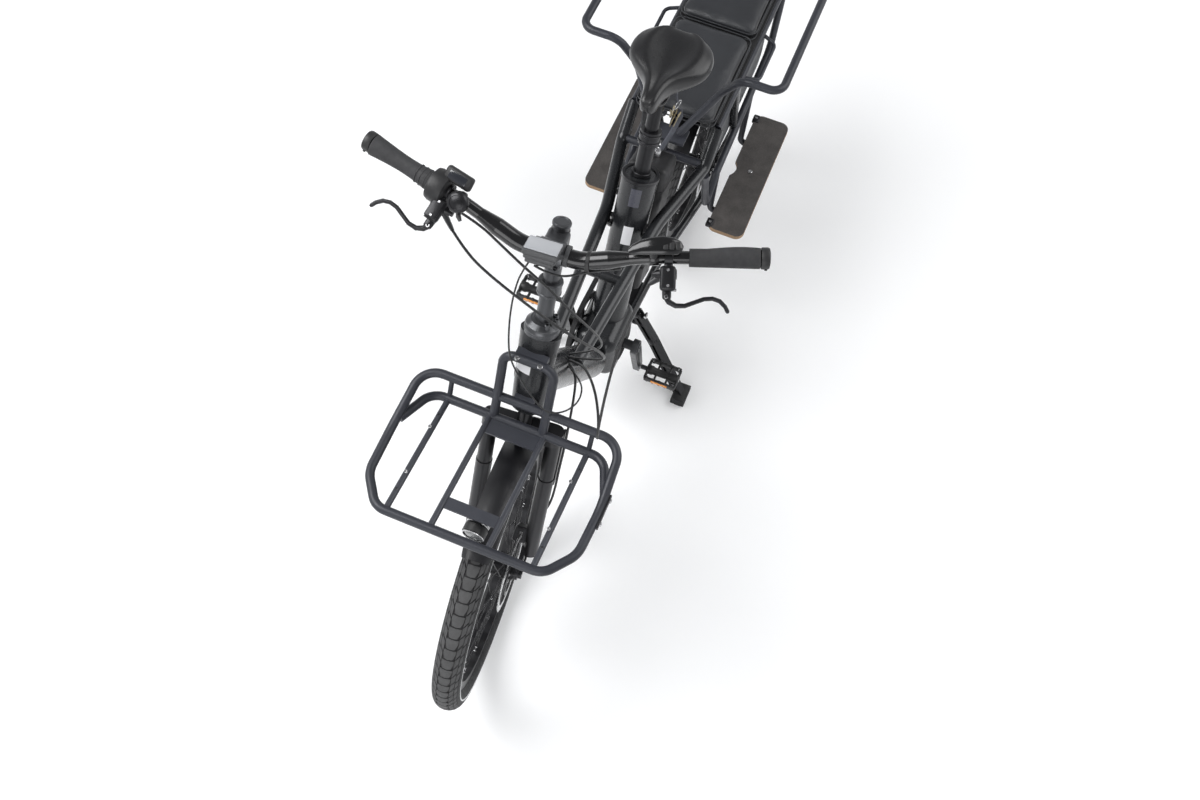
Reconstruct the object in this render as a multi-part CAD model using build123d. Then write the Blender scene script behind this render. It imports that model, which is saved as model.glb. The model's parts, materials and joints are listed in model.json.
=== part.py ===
from build123d import *
from math import asin, atan2, cos, hypot, pi, radians, sin, sqrt, tan
import os

# Longtail cargo bike, in millimetres.
# +X is forwards, +Y is the rider's left, +Z is up.
# The origin lies on the ground, midway between the front of the front tyre and the end of the rear rack.

# ---------------------------------------------------------------- driving dimensions
# Stance
wheelbase = 1250.0
head_angle = 68.6           # steering axis above the ground, degrees
fork_offset = 47.0          # front axle ahead of the steering axis
steer_turn = 5.75           # the handlebar rests turned this far to the left, degrees
steer_lock = 50.0           # the fork turns this far to each side, degrees
bb_setback = 650.0          # crank axle behind the front axle
bb_height = 277.0
seat_angle = 69.25
rack_end = 1610.0           # end of the rear rack behind the front axle

# Clearances
run_gap = 0.3               # between a shaft and what turns on it
cut_over = 1.0              # a cut runs this far past the face that it opens
pad_gap = 8.0               # between the two seat pads
fender_gap = 17.0           # between a tyre and its fender

# Wheels
front_radius = 314.0
front_tyre_width = 60.0
rear_radius = 260.0
rear_tyre_width = 58.0
tyre_depth = 54.0           # tread to the bead
tyre_bead = 10.0            # bead inside the rim's flange
rim_depth = 22.0
rim_width = 36.0
hub_radius = 17.0
flange_radius = 29.0
flange_spacing = 58.0
flange_thickness = 4.0
front_hub_width = 98.0
rear_hub_width = 132.0
axle_radius = 6.0
dropout_thickness = 9.0
axle_nut = 8.0
axle_nut_radius = 10.0
axle_free_end = 9.0         # rear axle beyond its nut, where a trailer hitch goes
rotor_radius = 90.0
rotor_track = 16.0
rotor_thickness = 2.0
rotor_inset = 9.0           # rotor inside the hub's end
rotor_arm = 9.0
rotor_arms = 6
spoke_radius = 1.1
spoke_count = 32
spoke_lean = 62.0           # spoke from the radius at its flange, degrees
spoke_rim_offset = 4.0

# Fenders
fender_thickness = 2.5
fender_crown = 60.0         # radius of the fender's section
front_fender_width = 62.0
front_fender_tip = 75.0     # from straight ahead, degrees
front_fender_tail = 200.0
rear_fender_width = 70.0
rear_fender_tip = 48.0
rear_fender_tail = 205.0
fender_stay_radius = 2.5
fender_tab = 18.0

# Fork and column
crown_z = 648.0             # middle of the fork crown where it meets the steering axis
crown_height = 26.0
crown_depth = 44.0
head_low_z = 700.0
head_top_z = 878.0
cover_top_z = 905.0         # top of the headset cover
cover_radius = 32.0
column_top_z = 1101.0
head_low_width = 64.0
head_low_depth = 46.0
head_top_width = 80.0
head_top_depth = 52.0
steerer_radius = 15.0
column_radius = 15.5
collar_z = 975.0            # height adjuster round the column
collar_radius = 22.0
collar_height = 30.0
fork_leg_y = 66.0
fork_leg_radius = 17.0
fork_stanchion_radius = 15.5
fork_stanchion_shown = 117.0
fork_leg_end = 26.0         # lowers end this far above the axle's level along the axis
dropout_boss = 14.0
hose_guard_z = 583.0        # guard of the brake hose on the left leg
hose_guard_back = 18.0
hose_guard_size = (26.0, 5.0, 148.0)

# Handlebar and its controls
bar_z = 1093.0              # bar clamp height
bar_reach = 55.0            # bar clamp ahead of the steering axis
bar_width = 698.0
bar_sweep = 47.0            # grip ends behind the clamp
bar_rise = 59.0             # grip ends above the clamp
bar_radius = 11.1
bar_centre_radius = 15.9
bar_straight = 55.0         # half length of the straight middle
bar_thick = 100.0           # the thick middle reaches this far out
bar_taper = 36.0
bar_run = 184.0             # straight outer run that carries the controls and the grip
bar_run_drop = 17.0         # the run's inner end below the grip's end
bar_run_back = 4.0
grip_length = 128.0
grip_radius = 16.5
stem_clamp = 23.0           # half width of the bar clamp
stem_wall = 7.0
lever_in = 34.0             # brake lever inside the grip
lever_clamp = 14.0
lever_neck = 24.0
lever_reach = 62.0           # blade's pivot ahead of the bar
lever_length = 92.0
lever_radius = 5.0
remote_in = 70.0
shifter_in = 58.0
bell_in = 88.0
display_size = (46.0, 64.0, 22.0)
display_up = 31.0           # display above and ahead of the bar
display_ahead = 32.0
display_side = -10.0

# Frame tubes
down_half_width = 40.0
down_half_height = 42.0
down_top = 74.0             # down tube above the head tube's lower end
down_foot = (96.0, 30.0)    # its other end ahead of and above the crank axle
side_tube_radius = 14.0
side_tube_z = 600.0
side_tube_start = (385.0, 32.0)
side_tube_seat_y = 60.0
side_tube_seat = 780.0      # station where they pass the seat tube
side_tube_bend_z = 590.0
bridge_station = 605.0
bridge_half = 48.0
bridge_radius = 11.0
stay_radius = 10.0
stay_start_y = 38.0
stay_waist = 330.0          # narrow part of the chain stays ahead of the rear axle
stay_waist_y = 46.0
strut_radius = 9.0
strut_bend_z = 430.0

# Seat
seat_tube_width = 80.0
seat_tube_depth = 84.0
seat_tube_length = 459.0    # crank axle to the top of the thick tube
seat_tube_low = 62.0
post_low_radius = 17.5
post_radius = 15.0
post_sunk = 120.0           # post inside the tube
post_collar = 562.0         # crank axle to the collar of the upper post
post_collar_height = 26.0
post_collar_wall = 5.0
seat_clamp = (46.0, 40.0, 16.0)
saddle_z = 962.0            # highest point of the saddle
saddle_width = 176.0
saddle_nose = 790.0         # saddle nose behind the front axle
saddle_depth = 62.0
saddle_stations = ((0, 24, 22, 30), (18, 40, 32, 25), (48, 58, 42, 22), (78, 116, 46, 23),
                   (106, 168, 50, 24), (136, saddle_width, 50, 24),
                   (168, 156, 44, 24), (206, 92, 32, 26))

# Battery behind the seat tube
battery_gap = 5.0
battery_depth = 96.0
battery_width = 92.0
battery_low = 118.0
battery_top = 452.0
lock_radius = 11.0
lock_height = 16.0

# Drive
drive_size = (150.0, 104.0, 146.0)
drive_shift = (0.0, 0.0, 6.0)
drive_round = 28.0
crank_length = 170.0
crank_rest = -105.7         # left crank from straight ahead, degrees
crank_inner_y = 76.0
crank_thickness = 15.0
crank_root = 19.0
crank_tip = 14.0
spindle_radius = 12.0
pedal_y = 152.0
pedal_width = 88.0
pedal_length = 62.0
pedal_thickness = 24.0
pedal_window = 16.0
pedal_pin_radius = 6.0
ring_radius = 92.0
ring_track = 16.0
ring_arms = 5
sprocket_radius = 40.0
belt_y = -58.0
belt_width = 11.0
belt_thickness = 6.0

# Stand
stand_pivot_x = 802.0       # behind the front axle
stand_pivot_z = 178.0
stand_hip_y = 35.0
stand_hub_radius = 14.0
stand_hub_width = 16.0
stand_knee = (790.0, 92.0, 96.0)
stand_foot = (713.0, 206.0)
stand_pin_radius = 7.0
stand_cross_share = 0.42    # place of the cross bar between hip and knee
stand_cross_radius = 8.0
stand_shoe = (52.0, 30.0, 24.0)
stand_leg = (20.0, 24.0)
stand_groove = (8.0, 5.0)
stand_knee_radius = 14.0
hanger_plate = (110.0, 76.0, 12.0)
hanger_stem = 32.0
hanger_drop = 18.0          # hanger plate below the crank axle

# Rear rack
rack_start = 985.0
rack_rise = 60.0            # the rails rise over this length behind the start
rack_z = 652.0              # middle of the upper rails
rack_y = 101.0
rail_radius = 9.0
cross_stations = (1075.0, 1250.0, 1450.0)
lower_rail_y = 108.0
lower_rail_z = 430.0        # at its front bend
lower_rail_climb = 50.0     # rise from there to its rear bend
lower_rail_end = 1490.0     # rear bend behind the front axle
lower_rail_top = 574.0
pad_thickness = 32.0
pad_width = 190.0
pad_round = 12.0
pad_front_start = 1018.0
pad_split = 1303.0
pad_rear_end = 1596.0
deck_thickness = 8.0
footboard_z = 294.0
footboard_thickness = 12.0
footboard_start = 1040.0
footboard_length = 400.0
footboard_inner_y = 122.0
footboard_width = 94.0
footboard_round = 22.0
notch_at = 1243.0
notch_length = 74.0
notch_depth = 10.0
arm_radius = 8.0
arm_ends = (70.0, 90.0)     # arms from the board's front and rear ends
guard_size = (390.0, 3.0, 200.0)
guard_round = 40.0
guard_shift = 30.0          # guard behind the rear axle
lamp_size = (18.0, 84.0, 26.0)
loop_at = 1290.0
loop_length = 150.0
loop_out = 30.0
loop_radius = 4.5

# Safety bar round the passengers
hoop_z = 860.0
hoop_y = 226.0
hoop_front = 1012.0
hoop_radius = 9.0
hoop_foot = (980.0, 30.0, 672.0)
hoop_knee = (1030.0, 100.0, 790.0)
hoop_shoulder_y = 140.0
hoop_back_inset = 20.0
hoop_post_y = 62.0
foot_plate = (44.0, 96.0, 8.0)
foot_post_radius = 10.0

# Front carrier
carrier_z = 697.0           # platform height at its rear tube
carrier_tilt = 6.0          # nose up, degrees
carrier_rear = 158.0        # rear tube behind the front axle
carrier_front = 110.0       # front tube ahead of the front axle
carrier_rod_y = (57.0, 146.0)
carrier_side_y = 214.0
carrier_tube_radius = 9.0
carrier_rod_radius = 6.0
carrier_post_radius = 5.0
carrier_rail_up = 48.0
carrier_rail_back = 18.0
carrier_hole_x = (44.0, 222.0)   # bolt holes in the outer rods, ahead of the rear tube
carrier_hole_radius = 2.75
carrier_hoop_up = 156.0
carrier_hoop_back = 44.0
carrier_hoop_y = 51.0
# plates between the middle rods: distance ahead of the rear tube, and depth
carrier_straps = ((24.0, 34.0), (208.0, 24.0))
carrier_strap_thickness = 4.0
mount_high = (20.0, 62.0, 14.0)
mount_low = (16.0, 40.0, 14.0)
headlamp_ahead = 58.0
headlamp_side = 14.0
headlamp_z = 678.0
headlamp_radius = 23.0
headlamp_length = 44.0

# Brake calipers and hoses
caliper_size = (34.0, 30.0, 54.0)   # out from the hub, across, and round the rotor
caliper_slot = 8.0
caliper_out = 6.0           # caliper's middle outside the rotor's track
caliper_roof = 4.0          # slot beyond the rotor's edge
caliper_round = 5.0
front_caliper_turn = 128.0  # from straight ahead of the hub in the fork's frame, degrees
rear_caliper_turn = 52.0
caliper_tab = 9.0
hose_radius = 2.5
cable_radius = 1.8
hose_bend = 60.0

# ---------------------------------------------------------------- derived stations
front_x = (rack_end + front_radius) / 2 - front_radius
rail_top = rack_z + rail_radius
pad_low = rail_top + deck_thickness - 1.5
pad_top = pad_low + pad_thickness


def X(behind):
    """Row-frame x of a station given behind the front axle."""
    return front_x - behind


def P(behind, y, z):
    return Vector(X(behind), y, z)


axis_up = Vector(-cos(radians(head_angle)), 0, sin(radians(head_angle)))
axis_forward = Vector(sin(radians(head_angle)), 0, cos(radians(head_angle)))
front_hub = Vector(front_x, 0, front_radius)
axis_foot = front_hub - axis_forward * fork_offset
head_frame = Location(Plane(origin=axis_foot, x_dir=axis_forward, z_dir=axis_up))
steering = head_frame * Rot(0, 0, steer_turn)


def along_axis(z):
    """Distance up the steering axis, from the foot, at which the axis reaches height z."""
    return (z - axis_foot.Z) / axis_up.Z


bb = Vector(X(bb_setback), 0, bb_height)
rear_hub = Vector(X(wheelbase), 0, rear_radius)
seat_forward = Vector(sin(radians(seat_angle)), 0, cos(radians(seat_angle)))
seat_up = Vector(-cos(radians(seat_angle)), 0, sin(radians(seat_angle)))
seat_frame = Location(Plane(origin=bb, x_dir=seat_forward, z_dir=seat_up))
carrier_up = Vector(-sin(radians(carrier_tilt)), 0, cos(radians(carrier_tilt)))
carrier_along = Vector(cos(radians(carrier_tilt)), 0, sin(radians(carrier_tilt)))
carrier_frame = Location(Plane(origin=P(carrier_rear, 0, carrier_z), x_dir=carrier_along, z_dir=carrier_up))
carrier_reach = carrier_rear + carrier_front
front_wheel_at = steering * Pos(fork_offset, 0, 0) * Rot(-90, 0, 0)
rear_wheel_at = Location(rear_hub) * Rot(-90, 0, 0)
front_dropout_y = front_hub_width / 2 + run_gap + dropout_thickness / 2
rear_dropout_y = rear_hub_width / 2 + run_gap + dropout_thickness / 2
front_rotor_y = front_hub_width / 2 - rotor_inset
rear_rotor_y = rear_hub_width / 2 - rotor_inset
stay_y = rear_dropout_y + stay_radius / 2 - 1


# ---------------------------------------------------------------- helpers
def spot(frame, x, y, z):
    """Row-frame point of a place given in a local frame."""
    return (frame * Pos(x, y, z)).position


def vector(point):
    return Vector(*point) if isinstance(point, tuple) else point


def flip(v):
    return Vector(v.X, -v.Y, v.Z)


def bend_limit(before, corner, after):
    """Largest radius that the two runs at a corner leave room for."""
    run_in, run_out = corner - before, after - corner
    half_turn = radians(run_in.get_angle(run_out)) / 2
    return 0.45 * min(run_in.length, run_out.length) / tan(half_turn)


def pipe(points, radius, bends=()):
    """Round bar along straight runs joined by tangent arcs."""
    points = [vector(p) for p in points]
    corners = zip(points, points[1:], points[2:])
    radii = [min(bend, bend_limit(*corner)) for bend, corner in zip(bends, corners, strict=True)]
    path = FilletPolyline(*points, radius=radii)
    return sweep(Plane(origin=path @ 0, z_dir=path % 0) * Circle(radius), path)


def hose(points, radius):
    return pipe(points, radius, [hose_bend] * (len(points) - 2))


def rod(a, b, radius):
    """Round bar between two points."""
    a, b = vector(a), vector(b)
    return extrude(Plane(origin=a, z_dir=b - a) * Circle(radius), (b - a).length)


def lug(centre, direction, radius, length):
    """Cylinder centred on a point."""
    way = vector(direction).normalized()
    return extrude(Plane(origin=vector(centre) - way * (length / 2), z_dir=way) * Circle(radius), length)


def block(centre, size, rounding=0.0):
    body = Box(*size)
    if rounding:
        body = fillet(body.edges(), rounding)
    return Pos(*centre) * body


def plate(centre, outline, thickness):
    """Flat sketch in X and Z, this thick about a point."""
    return Pos(*centre) * Rot(90, 0, 0) * extrude(outline, thickness / 2, both=True)


def mirrored(shape):
    return mirror(shape, about=Plane.XZ)


def cut(shape, *tools):
    for tool in tools:
        shape = shape - tool
    return shape


def one(shape):
    """A single solid, where a boolean has wrapped it."""
    solids = shape.solids()
    return solids[0] if len(solids) == 1 else Compound(children=list(solids))


# ---------------------------------------------------------------- wheels, about their own axle along Z
def tyre(radius, width):
    section = Pos(radius - tyre_depth / 2, 0) * Ellipse(tyre_depth / 2, width / 2)
    section -= Pos(radius - tyre_depth, 0) * Rectangle(2 * tyre_bead, rim_width + 2 * run_gap)
    return revolve(Plane.XZ * section, axis=Axis.Z)


def rim_outer(radius):
    return radius - tyre_depth + tyre_bead


def rim_ring(radius):
    section = Pos(rim_outer(radius) - rim_depth / 2, 0) * Rectangle(rim_depth, rim_width)
    return revolve(Plane.XZ * section, axis=Axis.Z)


def hub(width):
    shell = Cylinder(hub_radius, width)
    for side in (-1, 1):
        shell += Pos(0, 0, side * flange_spacing / 2) * Cylinder(flange_radius, flange_thickness)
    return shell - Cylinder(axle_radius + run_gap, width + 2 * cut_over)


def spokes(radius):
    """Straight spokes that cross in pairs, from alternate flanges to the middle of the rim."""
    made = []
    for i in range(spoke_count):
        side = 1 if i % 2 else -1
        lean = 1 if (i // 2) % 2 else -1
        out = 2 * pi * i / spoke_count
        back = out + lean * radians(spoke_lean)
        flange_at = (flange_radius - 4, back, side * flange_spacing / 2)
        rim_at = (rim_outer(radius) - rim_depth + 3, out, side * spoke_rim_offset)
        a, b = (Vector(r * cos(t), r * sin(t), z) for r, t, z in (flange_at, rim_at))
        made.append(rod(a, b, spoke_radius))
    return made


def wheel(radius, hub_width):
    body = rim_ring(radius) + hub(hub_width)
    return one(body.fuse(*spokes(radius)))


def rotor():
    ring_in = rotor_radius - rotor_track
    inside = Cylinder(hub_radius, rotor_thickness + 2 * cut_over)
    disc = Cylinder(rotor_radius, rotor_thickness) - Cylinder(ring_in, rotor_thickness + 2 * cut_over)
    disc += Cylinder(hub_radius + 8, rotor_thickness)
    arm_length = ring_in + 4 - hub_radius
    for i in range(rotor_arms):
        arm = Box(arm_length, rotor_arm, rotor_thickness)
        disc += Rot(0, 0, 360 / rotor_arms * i) * Pos(hub_radius + arm_length / 2, 0, 0) * arm
    return one(disc - inside)


def fender(radius, width, tip, tail):
    """Curved blade over a wheel; tip and tail are angles from straight ahead, in the wheel's frame."""
    crown_at = radius + fender_gap + fender_thickness - fender_crown
    band = Pos(crown_at, 0) * (Circle(fender_crown) - Circle(fender_crown - fender_thickness))
    band &= Pos(radius + fender_gap, 0) * Rectangle(fender_crown / 2, width)
    blade = revolve(Plane.XZ * band, axis=Axis.Z, revolution_arc=tail - tip)
    return Rot(0, 0, -tail) * blade


def caliper(frame, side_y, angle):
    """Brake caliper over the rotor's rim, at an angle up from straight ahead; the frame's origin is the hub."""
    reach = rotor_radius - rotor_track / 2 + caliper_out
    body = fillet(Box(*caliper_size).edges(), caliper_round)
    slot_end = rotor_radius + caliper_roof - reach
    slot_length = slot_end + caliper_size[0]
    body -= Pos(slot_end - slot_length / 2, 0, 0) * Box(slot_length, caliper_slot,
                                                        caliper_size[2] + 2 * cut_over)
    return frame * Pos(0, side_y, 0) * Rot(0, -angle, 0) * Pos(reach, 0, 0) * body


# ---------------------------------------------------------------- handlebar, in the steering frame
def to_steering(ahead, y, z):
    """Steering-frame point for a place given level with the ground: this far ahead of the axis at height z."""
    return Vector(ahead * axis_forward.X, y, along_axis(z) + ahead * axis_up.X)


def bar_points():
    """Left half of the bar from the middle outwards."""
    end_z = bar_z + bar_rise
    return [
        to_steering(bar_reach, 0, bar_z),
        to_steering(bar_reach, bar_straight, bar_z),
        to_steering(bar_reach - bar_run_back, bar_width / 2 - bar_run, end_z - bar_run_drop),
        to_steering(bar_reach - bar_sweep, bar_width / 2, end_z),
    ]


bar_middle, bar_bend, bar_start, bar_end = bar_points()
bar_way = (bar_end - bar_start).normalized()
bar_bends = (90, 70, 70, 90)


def bar_out(y):
    """Point on the bar's left slope between the middle and the outer run."""
    return bar_bend + (bar_start - bar_bend) * ((y - bar_bend.Y) / (bar_start.Y - bar_bend.Y))


def handlebar():
    points = [flip(p) for p in (bar_end, bar_start, bar_bend)] + [bar_bend, bar_start, bar_end]
    bar = pipe(points, bar_radius, bar_bends)
    thick_end = bar_out(bar_thick)
    bar += pipe([flip(thick_end), flip(bar_bend), bar_bend, thick_end], bar_centre_radius, bar_bends[::3])
    slope = (bar_start - bar_bend).normalized()
    for way, end in ((slope, thick_end), (flip(slope), flip(thick_end))):
        tip = Plane(origin=end + way * bar_taper, z_dir=way) * Circle(bar_radius)
        bar += loft(Sketch() + [Plane(origin=end - way * cut_over, z_dir=way) * Circle(bar_centre_radius),
                                tip])
    return one(bar)


def on_side(shape, side):
    return one(shape if side > 0 else mirrored(shape))


def both_sides(shape):
    """Two separate solids, one each side of the bike."""
    return Compound(children=[*one(shape).solids(), *one(mirrored(shape)).solids()])


def grips():
    body = rod(bar_end - bar_way * grip_length, bar_end + bar_way * 4, grip_radius)
    return both_sides(body - rod(bar_start, bar_end, bar_radius))


lever_front = to_steering(1, 0, bar_z) - to_steering(0, 0, bar_z + 0.55)
lever_front = lever_front.normalized()


def brake_lever(side):
    """Clamp, master cylinder and blade; the blade runs out in front of the grip."""
    at = bar_end - bar_way * (grip_length + lever_in)
    body = lug(at, bar_way, bar_radius + 6, lever_clamp)
    neck = at + lever_front * lever_neck
    body += rod(at + lever_front * (bar_radius + 2), neck, 8)
    body += rod(neck + bar_way * 6, neck - bar_way * 36, 10)
    pivot = at + lever_front * lever_reach + bar_way * 4
    body += rod(neck, pivot, 8)
    blade_points = [pivot - bar_way * 4, pivot + bar_way * 16 + lever_front * 8,
                    pivot + bar_way * (lever_length - 32) - lever_front * 6,
                    pivot + bar_way * (lever_length - 10), pivot + bar_way * lever_length + lever_front * 20]
    body += pipe(blade_points, lever_radius, (30, 40, 24))
    return on_side(body - rod(bar_start, bar_end, bar_radius), side)


def bar_gadget(side, inward, size, offset, rounding):
    """Small control clamped on the outer run, this far inside the grip."""
    at = bar_end - bar_way * (grip_length + inward)
    face = Location(Plane(origin=at, x_dir=lever_front, z_dir=bar_way))
    body = lug(at, bar_way, bar_radius + 4, 10)
    body += face * Pos(*offset) * fillet(Box(*size).edges(), rounding)
    return on_side(body - rod(bar_start, bar_end, bar_radius), side)


# ---------------------------------------------------------------- fork and steering, in the steering frame
def fork():
    crown = along_axis(crown_z)
    cover = along_axis(cover_top_z)
    lowers_top = crown - fork_stanchion_shown
    body = Pos(0, 0, crown) * Box(crown_depth, 2 * (fork_leg_y + fork_leg_radius), crown_height)
    body = fillet(body.edges().filter_by(Axis.Z), crown_depth / 2 - 2)
    body += rod((0, 0, crown), (0, 0, cover + 8), steerer_radius)
    for side in (1, -1):
        y = side * fork_leg_y
        body += rod((0, y, crown), (0, y, lowers_top - 1), fork_stanchion_radius)
        body += rod((0, y, lowers_top), (0, y, fork_leg_end), fork_leg_radius)
        ends = Pos(0, fork_leg_end + 8) * Circle(dropout_boss + 1) + Pos(fork_offset,
                                                                         0) * Circle(dropout_boss)
        body += plate((0, side * front_dropout_y, 0), make_hull(ends.edges()), dropout_thickness)
    guard = Pos(-hose_guard_back, fork_leg_y + fork_leg_radius - 2,
                along_axis(hose_guard_z)) * Box(*hose_guard_size)
    return body + fillet(guard.edges().filter_by(Axis.Y), 10)


def steering_parts():
    made = {}
    half_axle = front_hub_width / 2 + run_gap + dropout_thickness + axle_nut
    axle = rod((fork_offset, -half_axle, 0), (fork_offset, half_axle, 0), axle_radius)
    body = fork() - axle
    nuts = [lug((fork_offset, side * (half_axle - axle_nut / 2), 0), (0, 1, 0), axle_nut_radius - 1,
                axle_nut) for side in (1, -1)]
    made["fork"] = one(body)
    made["front_axle"] = one(cut(axle.fuse(*nuts), body))
    made["handlebar"] = handlebar()

    # column: a domed cover over the headset, the tube with its height adjuster, and the clamp that holds the bar
    cover_low = along_axis(head_top_z) + 1.0
    cover = along_axis(cover_top_z)
    dome = Pos(0, 0, cover_low) * Cylinder(cover_radius, cover - cover_low,
                                           align=(Align.CENTER, Align.CENTER, Align.MIN))
    stem = chamfer(dome.edges().sort_by(Axis.Z)[-1], 8)
    stem += rod((0, 0, cover), (0, 0, along_axis(column_top_z)), column_radius)
    stem += lug((0, 0, along_axis(collar_z)), (0, 0, 1), collar_radius, collar_height)
    stem += Pos(-collar_radius, 0, along_axis(collar_z)) * Box(14, 20, collar_height - 6)
    arm = Pos(bar_middle.X / 2, 0, bar_middle.Z) * Box(bar_middle.X, 2 * stem_clamp - 6, 36)
    stem += fillet(arm.edges(), 6)
    stem += lug(bar_middle, (0, 1, 0), bar_centre_radius + stem_wall, 2 * stem_clamp)
    stem = cut(stem, rod((0, 0, cover_low - 1), (0, 0, cover + 8), steerer_radius), made["handlebar"])
    made["stem"] = one(stem)

    # display on its own arm ahead of the bar
    screen_at = bar_middle + to_steering(display_ahead, display_side, bar_z + display_up) - to_steering(0,
                                                                                                        0, bar_z)
    screen = Pos(*screen_at) * Rot(0, -26, 0) * fillet(Box(*display_size).edges(), 5)
    screen += rod(bar_middle + Vector(0, stem_clamp + 5, 0), screen_at + Vector(0, stem_clamp + 5, -4), 5)
    screen += lug(bar_middle + Vector(0, stem_clamp + 5, 0), (0, 1, 0), bar_centre_radius + 3, 8)
    made["display"] = one(cut(screen, made["handlebar"], stem))

    for name, side in (("left", 1), ("right", -1)):
        made["brake_lever_" + name] = brake_lever(side)
    made["grips"] = grips()
    made["remote"] = one(cut(bar_gadget(1, remote_in, (30, 22, 40), (-14, -12, 0), 6), made["handlebar"],
                             made["brake_lever_left"]))
    shifter = bar_gadget(-1, shifter_in, (34, 26, 30), (-4, 14, 0), 8)
    bell = bar_gadget(-1, bell_in, (26, 34, 26), (10, -24, 0), 9)
    shifter, bell = (one(cut(part, made["handlebar"], made["brake_lever_right"])) for part in (shifter,
                                                                                               bell))
    made["shifter_and_bell"] = Compound(children=[*shifter.solids(), *bell.solids()])

    # front fender with its tab on the crown and a wire stay to each dropout
    wheel_at = Pos(fork_offset, 0, 0) * Rot(-90, 0, 0)
    tilt = 90 - head_angle
    blade = wheel_at * fender(front_radius, front_fender_width, front_fender_tip - tilt,
                              front_fender_tail - tilt)
    crown = along_axis(crown_z)
    blade_top = sqrt((front_radius + fender_gap) ** 2 - fork_offset ** 2) + 1
    blade += Pos(0, 0, (blade_top + crown) / 2) * Box(fender_tab, fender_tab, crown - blade_top)
    tail = radians(front_fender_tail - tilt - 6)
    out = front_radius + fender_gap - 4
    for side in (1, -1):
        top = Vector(fork_offset + out * cos(tail), side * (front_fender_width / 2 - 3), out * sin(tail))
        blade += pipe([top, top + Vector(18, side * 20, 6),
                       (fork_offset - 22, side * (front_dropout_y + 8), 4)], fender_stay_radius, (20,))
    made["front_fender"] = one(cut(blade, made["fork"]))

    # brake caliper and its tab on the left leg
    body = caliper(Pos(fork_offset, 0, 0), front_rotor_y, front_caliper_turn)
    body += Pos(-fork_leg_radius - 4, fork_leg_y - 9, 66) * Box(30, caliper_tab, 40)
    made["brake_front"] = one(cut(body, made["fork"]))
    return {name: steering * shape for name, shape in made.items()}


# ---------------------------------------------------------------- frame
def oval(width, depth):
    """Flattened round: depth along local x, width along local y."""
    return Ellipse(depth / 2, width / 2)


def head_tube():
    low, top = along_axis(head_low_z), along_axis(head_top_z)
    body = loft(Sketch() + [Pos(0, 0, low) * oval(head_low_width, head_low_depth),
                            Pos(0, 0, top) * oval(head_top_width, head_top_depth)])
    body -= rod((0, 0, low - 5), (0, 0, top + 5), steerer_radius + run_gap)
    return one(head_frame * body)


def side_tube_run(side):
    return [
        P(side_tube_start[0], side * side_tube_start[1], side_tube_z),
        P(side_tube_seat, side * side_tube_seat_y, side_tube_z - 2),
        P(rack_start - 10, side * rack_y, side_tube_bend_z),
        P(rack_start + rack_rise, side * rack_y, rack_z),
    ]


def frame_parts():
    made = {}
    head = head_tube()
    made["head_tube"] = head
    steerer = head_frame * rod((0, 0, along_axis(crown_z)), (0, 0, along_axis(head_top_z) + 5),
                               steerer_radius + run_gap)
    drive = block(bb + Vector(*drive_shift), drive_size, drive_round) - lug(bb, (0, 1, 0),
                                                                            spindle_radius + run_gap, 2 * drive_size[1])
    made["drive_unit"] = one(drive)

    # broad oval beam from the head tube to the drive unit
    start = spot(head_frame, -head_low_depth / 4, 0, along_axis(head_low_z) + down_top)
    end = bb + Vector(down_foot[0], 0, down_foot[1])
    beam = Plane(origin=start, x_dir=(0, 1, 0), z_dir=end - start) * Ellipse(down_half_width,
                                                                             down_half_height)
    beam = cut(extrude(beam, (end - start).length), head, steerer, drive)
    made["down_tube"] = one(beam)

    seat = Pos(0, 0, seat_tube_low) * extrude(oval(seat_tube_width, seat_tube_depth),
                                              seat_tube_length - seat_tube_low)
    seat -= rod((0, 0, seat_tube_length - post_sunk), (0, 0, seat_tube_length + 10), post_low_radius)
    made["seat_tube"] = one(cut(seat_frame * seat, drive, beam))

    # twin tubes from the down tube, past both sides of the seat tube, to the rack
    tubes = rod(P(bridge_station, -bridge_half, side_tube_z), P(bridge_station, bridge_half, side_tube_z),
                bridge_radius)
    for side in (1, -1):
        tubes += pipe(side_tube_run(side), side_tube_radius, (300, 40))
    made["side_tubes"] = one(cut(tubes, beam, made["seat_tube"], head))

    # chain stays with dropout plates, and the struts up to the rack
    for name, side in (("left", 1), ("right", -1)):
        run = [bb + Vector(-60, side * stay_start_y, -8),
               P(wheelbase - stay_waist, side * stay_waist_y, rear_radius + 8),
               P(wheelbase - 120, side * stay_y, rear_radius + 4), P(wheelbase - 18, side * stay_y,
                                                                     rear_radius + 2)]
        stay = pipe(run, stay_radius, (300, 200))
        ends = Pos(16, 0) * Circle(20) + Pos(-8, 14) * Circle(18)
        stay += plate((rear_hub.X, side * rear_dropout_y, rear_hub.Z), make_hull(ends.edges()),
                      dropout_thickness)
        stay += pipe([P(wheelbase + 6, side * stay_y, rear_radius + 24),
                      P(wheelbase - 4, side * rack_y, strut_bend_z),
                      P(wheelbase - 70, side * rack_y, rack_z)], strut_radius, (150,))
        made["stay_" + name] = cut(stay, drive, lug(rear_hub, (0, 1, 0), axle_radius, 3 * rear_hub_width))
    return made


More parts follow.
